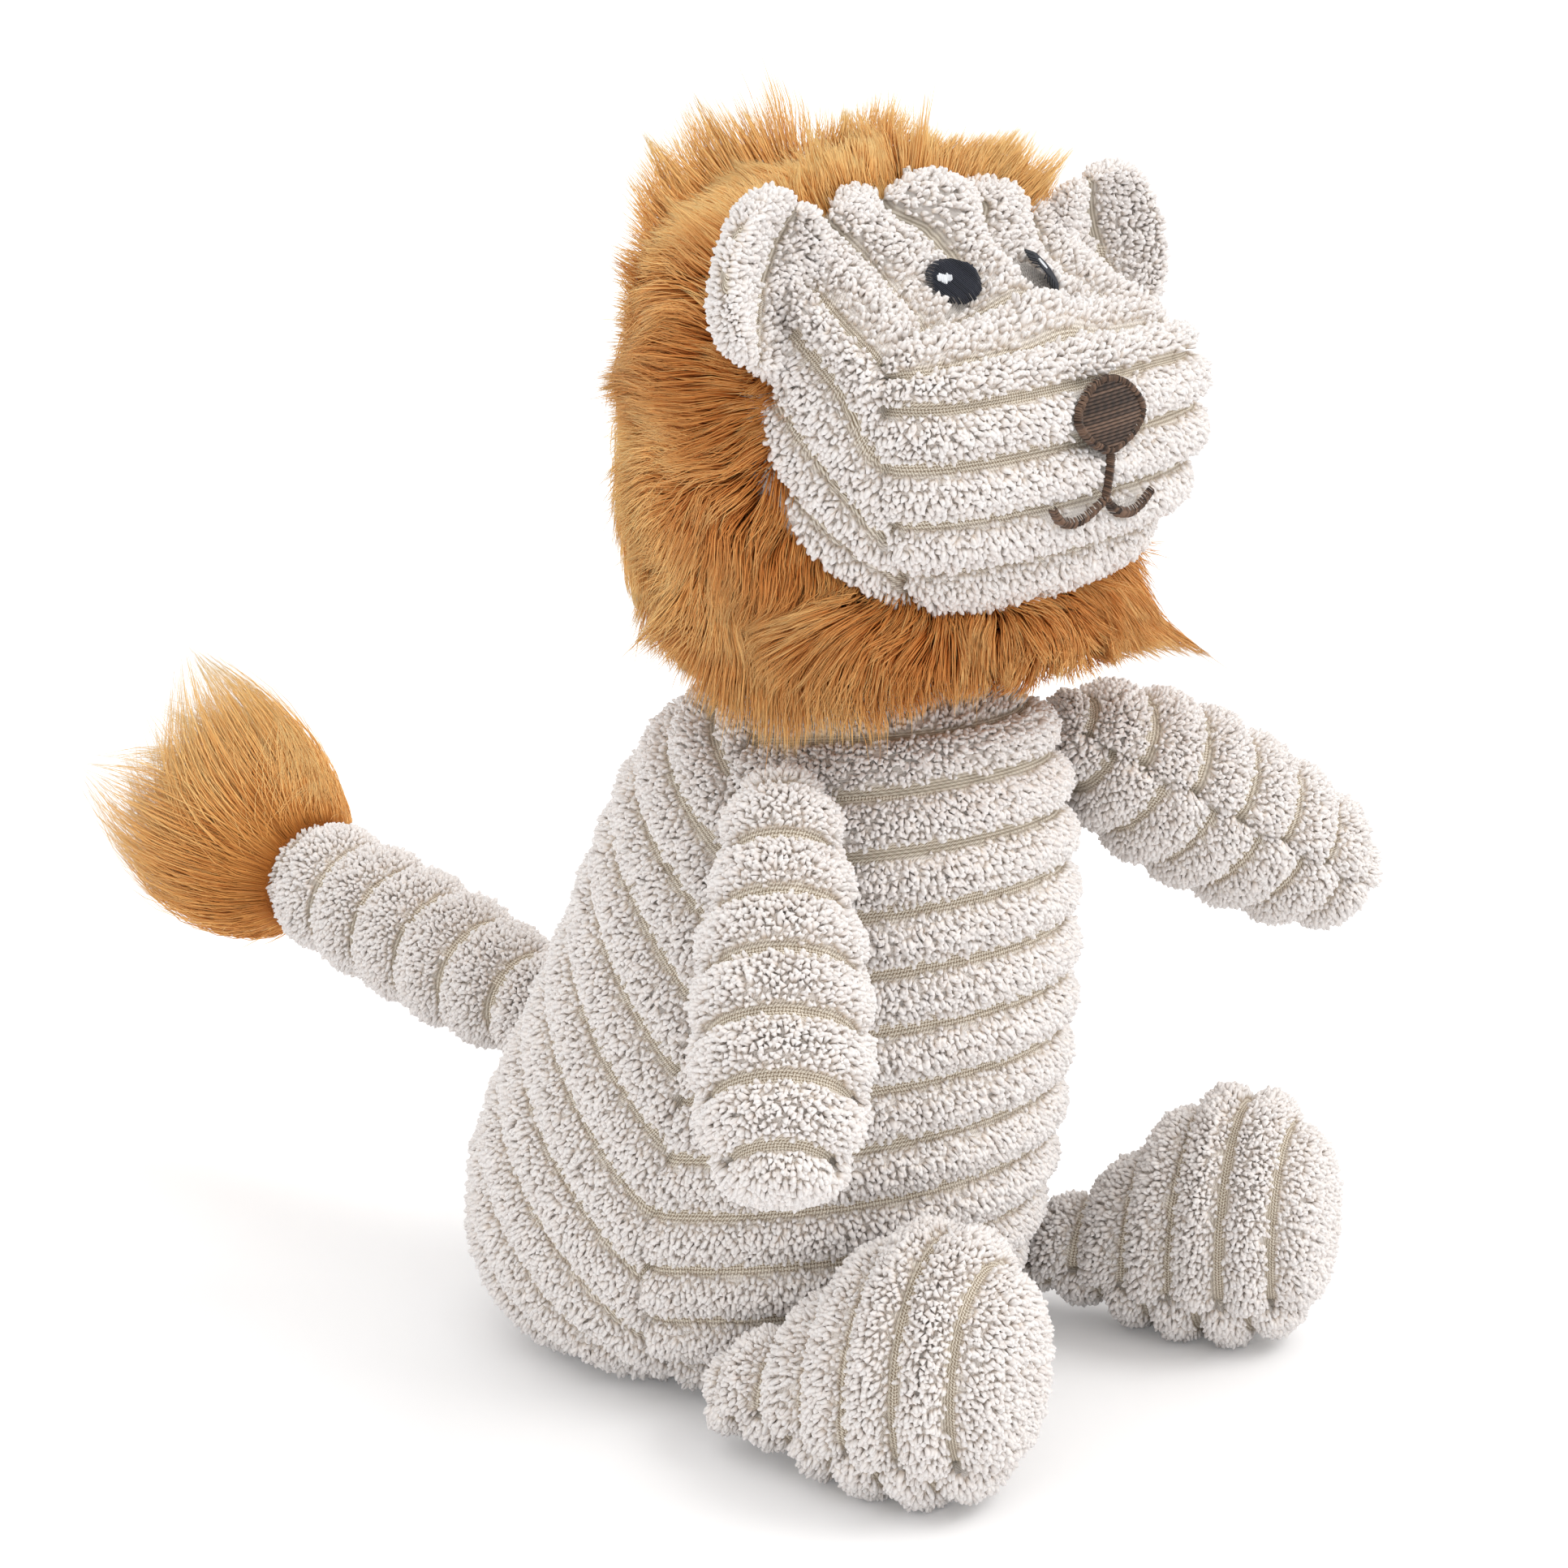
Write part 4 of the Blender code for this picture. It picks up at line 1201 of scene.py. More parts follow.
@dataclass
class Ear:
    """A round, slightly cupped ear."""

    side: Side
    radius: float = 16.0 * MM
    thickness: float = 9.0 * MM
    centre: Triple = (47.0 * MM, -46.0 * MM, 216.5 * MM)
    lean: float = 8.0
    slant: float = 24.0
    # Radius and depth as shares of the radius and of half the thickness; negative depths are in front
    sections: Sequence[Pair] = (
        (0.30, -0.15), (0.62, -0.45), (0.86, -0.95), (1.00, -0.70),
        (1.02, 0.20), (0.90, 0.85), (0.60, 1.15), (0.28, 1.20),
    )
    sides: int = 12

    def build(self) -> None:
        """Makes the ear's cloth and pile, which ride on the head."""
        sign = self.side.value
        middle = np.array([sign * self.centre[0], self.centre[1], self.centre[2]])
        turn = np.array(Matrix.Rotation(math.radians(-sign * self.lean), 3, "Z"))
        angle = 2 * math.pi * np.arange(self.sides) / self.sides
        rings = []
        for size, depth in self.sections:
            radius = self.radius * size * cage_scale(self.sides)
            level = np.full(self.sides, self.thickness / 2 * depth)
            local = np.stack([radius * np.cos(angle), level, -radius * np.sin(angle)], 1)
            rings.append(local @ turn.T + middle)
        slant = math.radians(self.slant)
        across = turn @ np.array([math.cos(slant), 0.0, sign * math.sin(slant)])
        cover = Cover(
            f"ear_{self.side.word}", SoftForm(rings), EarRibs(middle, across), 31 + sign,
            grid=(0.9 * MM, 1.6 * MM), profile=RibProfile(groove_depth=1.6 * MM), nap=(0.0, 0.0, 0.1),
        )
        cloth = cover.cloth()
        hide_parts(f"ear_{self.side.word}")
        for piece in [cloth, *cover.pile()]:
            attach(piece, "head")


@dataclass(frozen=True)
class Lock:
    """A lock of hair that gathers to one tip: places and reach in millimetres."""

    root: Triple
    tip: Triple
    reach: float


@dataclass(frozen=True)
class SeenLock:
    """A lock as read off the photograph, with the depth on one axis that its ends are taken to have."""

    tip_pixel: Pair
    root_pixel: Pair
    tip_depth: float
    root_depth: float
    reach: float
    axis: int

    def end(self, pixel: Pair, depth: float) -> Triple:
        """One end in millimetres, as closely as it can be read: X and Y to one and Z to a tenth."""
        x, y, z = PHOTO.on_plane(pixel, self.axis, depth * MM) / MM
        return float(np.round(x)), float(np.round(y)), float(np.round(z, 1))

    def lock(self) -> Lock:
        """The lock in the model's frame."""
        root, tip = self.end(self.root_pixel, self.root_depth), self.end(self.tip_pixel, self.tip_depth)
        return Lock(root, tip, self.reach)


@dataclass
class Mane:
    """The long ginger pile round the back of the head and under the chin."""

    head: Head
    crown: float = 7.5 * MM
    side: float = 3.8 * MM
    front: float = 1.4 * MM
    back: float = 3.0 * MM
    setback: float = 6.0 * MM
    root_depth: float = 6.5 * MM
    side_depth: float = 3.6 * MM
    crown_sink: float = 4.0 * MM
    crown_level: float = 239.0 * MM
    spacing: float = 0.62 * MM
    length: float = 20.0 * MM
    # How steeply each quarter of a hair stands off the backing
    stands: Sequence[float] = (1.0, 0.34, 0.10, 0.02)
    # Size of the clumps of hair, and how far their hairs gather
    clumps: Sequence[Pair] = ((2.4 * MM, 0.50), (6.5 * MM, 0.45), (15.0 * MM, 0.22))
    fringe_level: float = 142.5 * MM
    # The heights in millimetres between which the hair turns from lying back to standing up or hanging down
    up_levels: Pair = (204, 231)
    down_levels: Pair = (190, 158)
    # The heights between which the hair gets the crown's growth, the crown's tint and the fringe's growth
    crown_growth: Pair = (212.0 * MM, 230.0 * MM)
    crown_tint: Pair = (205.0 * MM, 225.0 * MM)
    fringe_growth: Pair = (176.0 * MM, 150.0 * MM)
    # How far behind the face's edge the hair is at its full length, and how fast the painted shade beside the
    # face's edge fades
    full_length_at: float = 12.0 * MM
    edge_shade: float = 15.0 * MM
    # How much shorter the hair is at the face's edge, at the fringe and on the crown
    shorter: Triple = (0.40, 0.22, 0.38)
    # The share of hairs that stand out as wisps, and by how much
    wisps: Pair = (0.025, 0.25)
    sectors: int = 5
    # Small locks that stand off anywhere: how many, how long, how high and, in millimetres, how wide
    loose: int = 170
    loose_length: Pair = (13.0 * MM, 22.0 * MM)
    loose_levels: Pair = (0.134, 0.250)
    loose_reach: Pair = (2.0, 3.8)
    # Height, half width, front reach and back reach, as shares
    sections: Sequence[tuple[float, ...]] = (
        (0.000, 0.74, 0.88, 0.72), (0.070, 0.90, 1.00, 0.86), (0.160, 0.97, 0.88, 0.95),
        (0.280, 1.00, 0.54, 1.00), (0.450, 1.00, 0.46, 1.00), (0.640, 1.00, 0.43, 0.98),
        (0.780, 0.97, 0.30, 0.90), (0.890, 0.85, 0.14, 0.74), (0.965, 0.62, 0.06, 0.50),
        (1.000, 0.32, 0.02, 0.24),
    )
    squareness: Pair = (3.0, 2.2)
    least_front: float = 1.0 * MM
    # How far over the face's edge the hair starts, and the neck that carries none
    overlap: float = 0.6 * MM
    neck_level: float = 147.0 * MM
    locks: Sequence[Lock] = ()

    def form(self, inset: float = 0.0) -> SoftForm:
        """The surface that the hair grows from, drawn in by inset."""
        head, rings = self.head, []
        deep = self.root_depth + inset
        for height, width, front, back in self.sections:
            low = float(smooth(0.32, 0.06, np.array(height)))
            side = self.side_depth + (self.root_depth - self.side_depth) * low + inset
            z = head.base + (head.height + self.crown) * height + deep * (0.5 - height) - self.sink(height)
            reach = (
                max((head.front + self.front) * front - deep, self.least_front),
                (head.back + self.back) * back - deep * min(1, 2 * back),
            )
            half_width = (head.half_width + self.side) * width - side
            rings.append(level_ring(z, half_width, head.centre_y + self.setback, reach, self.squareness))
        return SoftForm(rings)

    def sink(self, height: float) -> float:
        """How much deeper than elsewhere the backing lies on the crown."""
        return self.crown_sink * float(smooth(0.72, 1.0, np.array(height)))

    def flow(self, points: Array, normals: Array) -> Array:
        """Which way the hair lies: up on the crown, back on the sides, down at the neck, and swirling."""
        x, y, z = points.T / MM
        top = smooth(*self.up_levels, z)[:, None]
        low = smooth(*self.down_levels, z)[:, None] * (1 - top)
        middle = 1 - top - low
        rear = smooth(0.2, 0.85, normals[:, 1])[:, None]
        still = np.zeros(len(points))
        out = x / (self.head.half_width / MM)
        up = np.stack([out * 0.45, still + 0.75, still + 1.0], 1)
        down = np.stack([out * 0.30, still + 0.16, still - 1.0], 1)
        back = np.array([[0.0, 1.0, -0.22]]) * (1 - rear) + np.array([[0.0, 0.3, -1.0]]) * rear
        way = unit(flat_on(up * top + down * low + back * middle, normals))
        turn = 0.40 * np.sin(z / 8.5 + 1.4 * np.sin(y / 12 + x / 19))
        turn += 0.34 * np.sin(y / 5.0 + x / 8 + z / 19)
        turn += 0.42 * np.sin(z / 3.1 + 1.8 * np.sin(y / 4.3) + x / 5) * (1 - 0.7 * top[:, 0])
        turn = turn[:, None] * (1 - 0.4 * top)
        return way * np.cos(turn) + np.cross(normals, way) * np.sin(turn)

    def build(self) -> None:
        """Makes the mane's backing and its hair, which ride on the head."""
        rng = np.random.default_rng(47)
        backing = self.backing(self.form(0.6 * MM)).make("mane_backing")
        backing.data.materials.append(GINGER_GROUND.material())
        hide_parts("mane")
        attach(backing, "head")
        form = self.form()
        s, t = form.scatter(self.spacing, rng)
        roots, normals = form.evaluate(s, t)
        under = (normals[:, 2] < -0.8) & (roots[:, 2] < self.neck_level)
        stay = (self.head.behind_edge(roots) > -self.overlap) & ~under
        roots, normals = roots[stay], normals[stay]
        paths, tints = self.gather(self.grow(roots, normals, rng), normals, rng)
        sizes = rng.uniform(0.65, 1.25, len(roots))
        angle = np.arctan2(roots[:, 0], -(roots[:, 1] + 0.03))
        count = max(self.sectors, math.ceil(len(roots) / PIECE_STRAND_LIMIT))
        for number, part in enumerate(np.array_split(np.argsort(angle, kind="stable"), count), 1):
            data = Strands().mesh(paths[part], sizes[part], tints[part], rng)
            piece = data.make(f"mane_hair_{number}")
            piece.data.materials.append(GINGER_FUR.material())
            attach(piece, "head")
        LOG.info("mane: %d hairs in %d pieces", len(roots), count)

    def backing(self, form: SoftForm, columns: int = 110) -> MeshData:
        """The closed cloth that the hair grows from."""
        s, t = form.levels(2.2 * MM), np.linspace(0, form.sides, columns, endpoint=False)
        points, _ = form.evaluate(np.repeat(s[1:-1], columns), np.tile(t, len(s) - 2))
        poles, _ = form.evaluate(s[[0, -1]], np.zeros(2))
        rows, here = len(s) - 2, np.arange(columns)
        after, pole, last = (here + 1) % columns, np.full(columns, rows * columns), (rows - 1) * columns
        low, high = np.stack([pole, after, here], 1), np.stack([pole + 1, last + here, last + after], 1)
        faces = [grid_faces(rows, columns), np.concatenate([low, high])]
        return MeshData(np.concatenate([points, poles]), faces)

    def grow(self, roots: Array, normals: Array, rng: np.random.Generator) -> Array:
        """Grows every hair in four steps that follow the flow.

        Args:
            roots: The hairs' roots.
            normals: The surface's normals there.
            rng: The source of the disorder.

        Returns:
            Five points for every hair.
        """
        count = len(roots)
        top = smooth(*self.crown_growth, roots[:, 2])[:, None]
        near = smooth(0.0, self.full_length_at, self.head.behind_edge(roots))
        low = smooth(*self.fringe_growth, roots[:, 2])
        edge_cut, low_cut, top_cut = self.shorter
        length = self.length * (1 - edge_cut + edge_cut * near) * (1 - low_cut * low)
        length = length * (1 - top_cut * top[:, 0])
        step = (length * rng.uniform(0.7, 1.15, count) / len(self.stands))[:, None]
        stray = rng.normal(0, 0.10, roots.shape)
        place, points = roots, [roots]
        for stand in self.stands:
            rise = stand * (1 - top) + (0.45 + 0.35 * stand) * top
            place = place + unit(self.flow(place, normals) + normals * rise + stray) * step
            points.append(place)
        return np.stack(points, 1)

    def gather(self, paths: Array, normals: Array, rng: np.random.Generator) -> tuple[Array, Array]:
        """Draws the hairs into clumps and locks, and keeps them within the crown and the fringe.

        Args:
            paths: Five points for every hair.
            normals: The surface's normals at their roots.
            rng: The source of the disorder.

        Returns:
            The paths, and each hair's tint.
        """
        count, steps = len(paths), np.linspace(0, 1, paths.shape[1])
        roots, tints = paths[:, 0].copy(), 0.45 + rng.normal(0, 0.16, count)
        for size, share in self.clumps:
            seeds = roots[rng.random(count) < (self.spacing / size) ** 2]
            tree = KDTree(len(seeds))
            for number, seed in enumerate(seeds):
                tree.insert(seed, number)
            tree.balance()
            clump = np.array([tree.find(root)[1] for root in roots])
            members = np.maximum(np.bincount(clump, minlength=len(seeds)), 1)[:, None]
            drift = rng.normal(0, 0.22 * size, (len(seeds), 3))
            pull = share * rng.uniform(0.5, 1.25, count)
            for step, at in enumerate(steps[1:], 1):
                sums = [np.bincount(clump, paths[:, step, i], len(seeds)) for i in range(3)]
                guide = (np.stack(sums, 1) / members + drift * at**1.5)[clump]
                hold = (pull * at**1.3)[:, None]
                paths[:, step] = paths[:, step] * (1 - hold) + guide * hold
            tints += rng.normal(0, 0.11, len(seeds))[clump]
        free = np.ones(count)
        for lock in [*self.loose_locks(roots, normals, rng), *self.locks]:
            root, tip = np.array(lock.root) * MM, np.array(lock.tip) * MM
            root = roots[np.linalg.norm(roots - root, axis=1).argmin()]
            away = np.linalg.norm(roots - root, axis=1) / (lock.reach * MM)
            pull = np.clip(np.exp(-(away**2)) * rng.uniform(0.8, 1.7, count), 0, 1) * (away < 1.7)
            # How far short of the tip each hair ends
            short = rng.random(count) ** 1.8 * 0.52
            loose = (0.25 * MM + 2.2 * MM * short)[:, None]
            end = tip + (root - tip) * short[:, None] + rng.normal(0, 1.0, roots.shape) * loose
            for step, at in enumerate(steps[1:], 1):
                hold = (pull * min(1.0, 1.5 * at))[:, None]
                paths[:, step] = paths[:, step] * (1 - hold) + (roots + (end - roots) * at) * hold
            free *= 1 - np.clip(pull * 3, 0, 1)
        wisp = rng.random(count) < self.wisps[0]
        paths[wisp] += (paths[wisp] - paths[wisp, :1]) * self.wisps[1] * steps[None, :, None] ** 2
        over = np.maximum(paths[:, :, 2] - self.crown_level, 0)
        paths[:, :, 2] -= over * (free * rng.uniform(0.5, 0.95, count))[:, None]
        below = np.minimum(paths[:, :, 2] - self.fringe_level, 0)
        paths[:, :, 2] -= below * (free * rng.uniform(0.45, 0.85, count))[:, None]
        high = smooth(*self.crown_tint, roots[:, 2])
        # Painted shade: the hair just behind the face's edge is tinted darker, where the face shades it
        deep = np.exp(-np.maximum(self.head.behind_edge(roots), 0) / self.edge_shade)
        return paths, np.clip(tints + (0.60 * deep - 0.05) * (1 - high) - 0.50 * high, 0, 1)

    def loose_locks(self, roots: Array, normals: Array, rng: np.random.Generator) -> list[Lock]:
        """Small locks anywhere on the mane, which stand off it.

        Args:
            roots: The hairs' roots.
            normals: The surface's normals there.
            rng: The source of the disorder.

        Returns:
            The locks.
        """
        picked = rng.choice(len(roots), self.loose, replace=False)
        root, normal = roots[picked], normals[picked]
        stand = normal * rng.uniform(0.25, 0.6, (self.loose, 1))
        way = unit(self.flow(root, normal) + stand + rng.normal(0, 0.16, root.shape))
        tip = root + way * rng.uniform(*self.loose_length, (self.loose, 1))
        tip[:, 2] = np.clip(tip[:, 2], *self.loose_levels)
        reach = rng.uniform(*self.loose_reach, self.loose)
        return [Lock(tuple(a / MM), tuple(b / MM), float(c)) for a, b, c in zip(root, tip, reach)]


@dataclass(frozen=True)
class TuftTip:
    """A tip of the tail's tuft: its place in millimetres, and how much hair goes there."""

    place: Triple
    weight: float


@dataclass(frozen=True)
class SeenTip:
    """A tip as read off the photograph, with the place along X that it is taken to have."""

    pixel: Pair
    x: float
    weight: float

    def tip(self) -> TuftTip:
        """The tip in the model's frame, to a tenth of a millimetre."""
        x, y, z = np.round(PHOTO.on_plane(self.pixel, AXIS_X, self.x * MM) / MM, 1)
        return TuftTip((float(x), float(y), float(z)), self.weight)


@dataclass
class TailTuft:
    """The flame-shaped tuft on the tail's end."""

    start: Triple
    way: Array
    tips: Sequence[TuftTip]
    root_radius: float = 12.5 * MM
    root_sink: float = 3.0 * MM
    # The heights between which the hair gets lighter
    light_levels: Pair = (78.0 * MM, 105.0 * MM)
    hairs: int = 17000

    def build(self) -> None:
        """Makes the tuft, which rides on the tail."""
        rng = np.random.default_rng(71)
        start, way = np.array(self.start), unit(np.asarray(self.way))
        first, second = side_pair(way[None], np.zeros(1))
        angle = rng.uniform(0, 2 * math.pi, self.hairs)
        ring = np.sqrt(rng.random(self.hairs))
        radial = first * np.cos(angle)[:, None] + second * np.sin(angle)[:, None]
        roots = start - way * self.root_sink + radial * (ring * self.root_radius)[:, None]
        ends = np.array([tip.place for tip in self.tips]) * MM
        weights = np.array([tip.weight for tip in self.tips])
        toward = unit(ends - start)
        liking = np.einsum("nk,mk->nm", radial * ring[:, None], toward) * 2.2 + np.log(weights)[None]
        liking += rng.gumbel(0, 0.55, liking.shape)
        chosen = liking.argmax(1)
        reach = 1 - rng.random(self.hairs) ** 0.85 * 0.55
        loose = (0.4 * MM + 8.0 * MM * (1 - reach))[:, None]
        tips = ends[chosen] + rng.normal(0, 1.0, (self.hairs, 3)) * loose
        span = np.linalg.norm(tips - roots, axis=1)[:, None]
        knee = roots + unit(way * 0.9 + radial * (0.25 + 0.8 * ring)[:, None]) * span * 0.52
        points = []
        for share in (0.0, 0.25, 0.5, 0.75, 1.0):
            at = (share * reach)[:, None]
            points.append(roots * (1 - at) ** 2 + knee * 2 * at * (1 - at) + tips * at**2)
        tints = rng.normal(0.24, 0.2, self.hairs) - 0.28 * smooth(*self.light_levels, tips[:, 2])
        tints = np.clip(tints, 0, 1)
        paths, sizes = np.stack(points, 1), rng.uniform(0.7, 1.25, self.hairs)
        count = math.ceil(self.hairs / PIECE_STRAND_LIMIT)
        for number, part in enumerate(np.array_split(np.argsort(angle, kind="stable"), count), 1):
            data = Strands().mesh(paths[part], sizes[part], tints[part], rng)
            piece = data.make(f"tail_tuft_hair_{number}")
            piece.data.materials.append(GINGER_FUR.material())
            if number == 1:
                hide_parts("tail_tuft")
            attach(piece, "tail")
        LOG.info("tail tuft: %d hairs", self.hairs)


@dataclass
class Stitching:
    """Embroidery on the face: stitches that follow the head's outline, or partly a pad turned out from it."""

    tree: BVHTree
    origin: Triple
    pitch_degrees: float
    turn_degrees: float = 0.0
    tilt: float = 0.0
    hinge: float = 0.0
    lift: float = 0.35 * MM
    crown: float = 0.45 * MM
    radius: float = 0.21 * MM
    bead: float = 1.2 * MM
    # How much of each stitch's tint is a painted highlight on every other bead; with it, each thread's crest
    # is painted lit and its sides painted in shade
    sparkle: float = 0.0
    # How deep a stitch's ends go into the cloth, and from how far out it is laid on
    tuck: float = 0.55 * MM
    start: float = 60.0 * MM

    def frame(self) -> Matrix:
        """A frame on the face with +Z out of it and +Y up."""
        turn = Matrix.Rotation(math.radians(90.0 - self.pitch_degrees), 4, "X")
        return Matrix.Translation(self.origin) @ turn

    def lay(self, x: float, y: float) -> tuple[Vector, Vector]:
        """The point of the face at a place of the frame, and its normal."""
        frame = self.frame()
        outward = (frame.to_3x3() @ Vector((0, 0, 1))).normalized()
        start = frame @ Vector((x, y, self.start))
        place, normal, _, _ = self.tree.ray_cast(start, -outward)
        if place is None:
            return frame @ Vector((x, y, 0)), outward
        if self.tilt:
            middle = self.tree.ray_cast(frame @ Vector((self.hinge, 0, self.start)), -outward)[0]
            facing = Matrix.Rotation(math.radians(self.turn_degrees), 3, "Z") @ outward
            flat = start - outward * ((start - middle).dot(facing) / outward.dot(facing))
            place, normal = place.lerp(flat, self.tilt), normal.lerp(facing, self.tilt).normalized()
        return place, normal

    def stitches(self, ends: Sequence[Line], rng: np.random.Generator) -> MeshData:
        """A round thread for each pair of ends, with the beads of a twisted yarn and, where asked, painted
        highlights on the beads and the crest.

        Args:
            ends: Where each stitch starts and stops on the frame.
            rng: The source of the threads' shades.

        Returns:
            The threads' mesh.
        """
        points, tints, faces = [], [], []
        turn = self.frame().to_3x3()
        for (ax, ay), (bx, by) in ends:
            shade, phase = rng.random(), rng.integers(0, 2)
            steps = max(5, round(math.hypot(bx - ax, by - ay) / self.bead) + 1)
            way = (turn @ Vector((bx - ax, by - ay, 0))).normalized()
            first = len(points)
            for step in range(steps):
                share = step / (steps - 1)
                place, normal = self.lay(ax + (bx - ax) * share, ay + (by - ay) * share)
                tucked = self.tuck if step in (0, steps - 1) else 0.0
                side = way.cross(normal).normalized()
                middle = place + normal * (self.lift + self.crown * (1 - (2 * share - 1) ** 4) - tucked)
                # Every other bead swells and gets a painted highlight
                bead_and_highlight = (step + phase) % 2
                radius = self.radius * (1 + (0.16 * bead_and_highlight if self.sparkle else 0))
                for quarter in range(4):
                    angle = math.pi / 2 * quarter
                    points.append(middle + (side * math.cos(angle) + normal * math.sin(angle)) * radius)
                    # Painted light on the thread's crest, painted shade on its sides
                    painted_crest_light = 1.0 if quarter == 1 or not self.sparkle else 0.15
                    tints.append((shade * (1 - self.sparkle) + self.sparkle * bead_and_highlight) * painted_crest_light)
            last = first + 4 * (steps - 1)
            faces += tube_faces(first, steps, 4)
            faces += [(first + 3, first + 2, first + 1, first), (last, last + 1, last + 2, last + 3)]
        return MeshData(np.array(points), [np.array(faces)], {"tint": np.array(tints)})


def fill_lines(
    outline: Sequence[Pair], angle: float, spacing: float, rng: np.random.Generator, ragged: float
) -> list[Line]:
    """Parallel lines across a closed outline.

    Args:
        outline: Its corners.
        angle: The lines' direction in radians.
        spacing: How far apart they lie.
        rng: The source of the ragged ends.
        ragged: How much their ends vary.

    Returns:
        Both ends of each line.
    """
    way = np.array([math.cos(angle), math.sin(angle)])
    side = np.array([-math.sin(angle), math.cos(angle)])
    corners = np.array(outline)
    level, along = corners @ side, corners @ way
    lines = []
    for at in np.arange(level.min() + spacing / 2, level.max(), spacing):
        cuts = []
        for i in range(len(corners)):
            j = (i + 1) % len(corners)
            if (level[i] - at) * (level[j] - at) < 0:
                share = (at - level[i]) / (level[j] - level[i])
                cuts.append(along[i] + (along[j] - along[i]) * share)
        if len(cuts) >= 2:
            low, high = min(cuts) - rng.uniform(0, ragged), max(cuts) + rng.uniform(0, ragged)
            lines.append((tuple(way * low + side * at), tuple(way * high + side * at)))
    return lines


def across_path(
    path: Sequence[Pair], width: float, spacing: float, slant: float,
    rng: np.random.Generator, taper: float = 0.0,
) -> list[Line]:
    """Short lines across a path, as a satin border or stroke has.

    Args:
        path: The stroke's middle line.
        width: Its width.
        spacing: How far apart the stitches lie.
        slant: How far each leans along the path, as a share of the width.
        rng: The source of the ragged ends.
        taper: How much narrower the stroke is at its ends.

    Returns:
        Both ends of each line.
    """
    points = np.array(path)
    run = np.concatenate([[0.0], np.cumsum(np.linalg.norm(np.diff(points, axis=0), axis=1))])
    lines = []
    for at in np.arange(0, run[-1], spacing):
        spots = (max(at - spacing, 0), at, min(at + spacing, run[-1]))
        before, here, ahead = (
            np.array([np.interp(spot, run, points[:, i]) for i in (0, 1)]) for spot in spots
        )
        way = (ahead - before) / max(1e-9, np.linalg.norm(ahead - before))
        side = np.array([-way[1], way[0]])
        reach = (side + way * slant) * width / 2 * (1 - taper * abs(2 * at / run[-1] - 1) ** 2)
        first, second = reach * rng.uniform(0.82, 1.2), reach * rng.uniform(0.82, 1.2)
        lines.append((tuple(here - first), tuple(here + second)))
    return lines


def ellipse(middle: Pair, half: Pair, count: int) -> list[Pair]:
    """Points round an ellipse."""
    turns = np.linspace(0, 2 * math.pi, count, endpoint=False)
    return [(middle[0] + half[0] * math.cos(a), middle[1] + half[1] * math.sin(a)) for a in turns]


def curve(points: Sequence[Pair], steps: int = 6, closed: bool = False) -> list[Pair]:
    """A smooth line through flat points."""
    if closed:
        ends = [points[-1], *points, points[0], points[1]]
    else:
        ends = [points[0], *points, points[-1]]
    made = []
    for p, q, r, s in zip(ends, ends[1:], ends[2:], ends[3:]):
        for i in range(steps):
            t = i / steps
            made.append(tuple(
                (2 * b + (c - a) * t + (2 * a - 5 * b + 4 * c - d) * t**2 + (3 * b - a - 3 * c + d) * t**3)
                / 2
                for a, b, c, d in zip(p, q, r, s)
            ))
    if not closed:
        made.append(tuple(points[-1]))
    return made


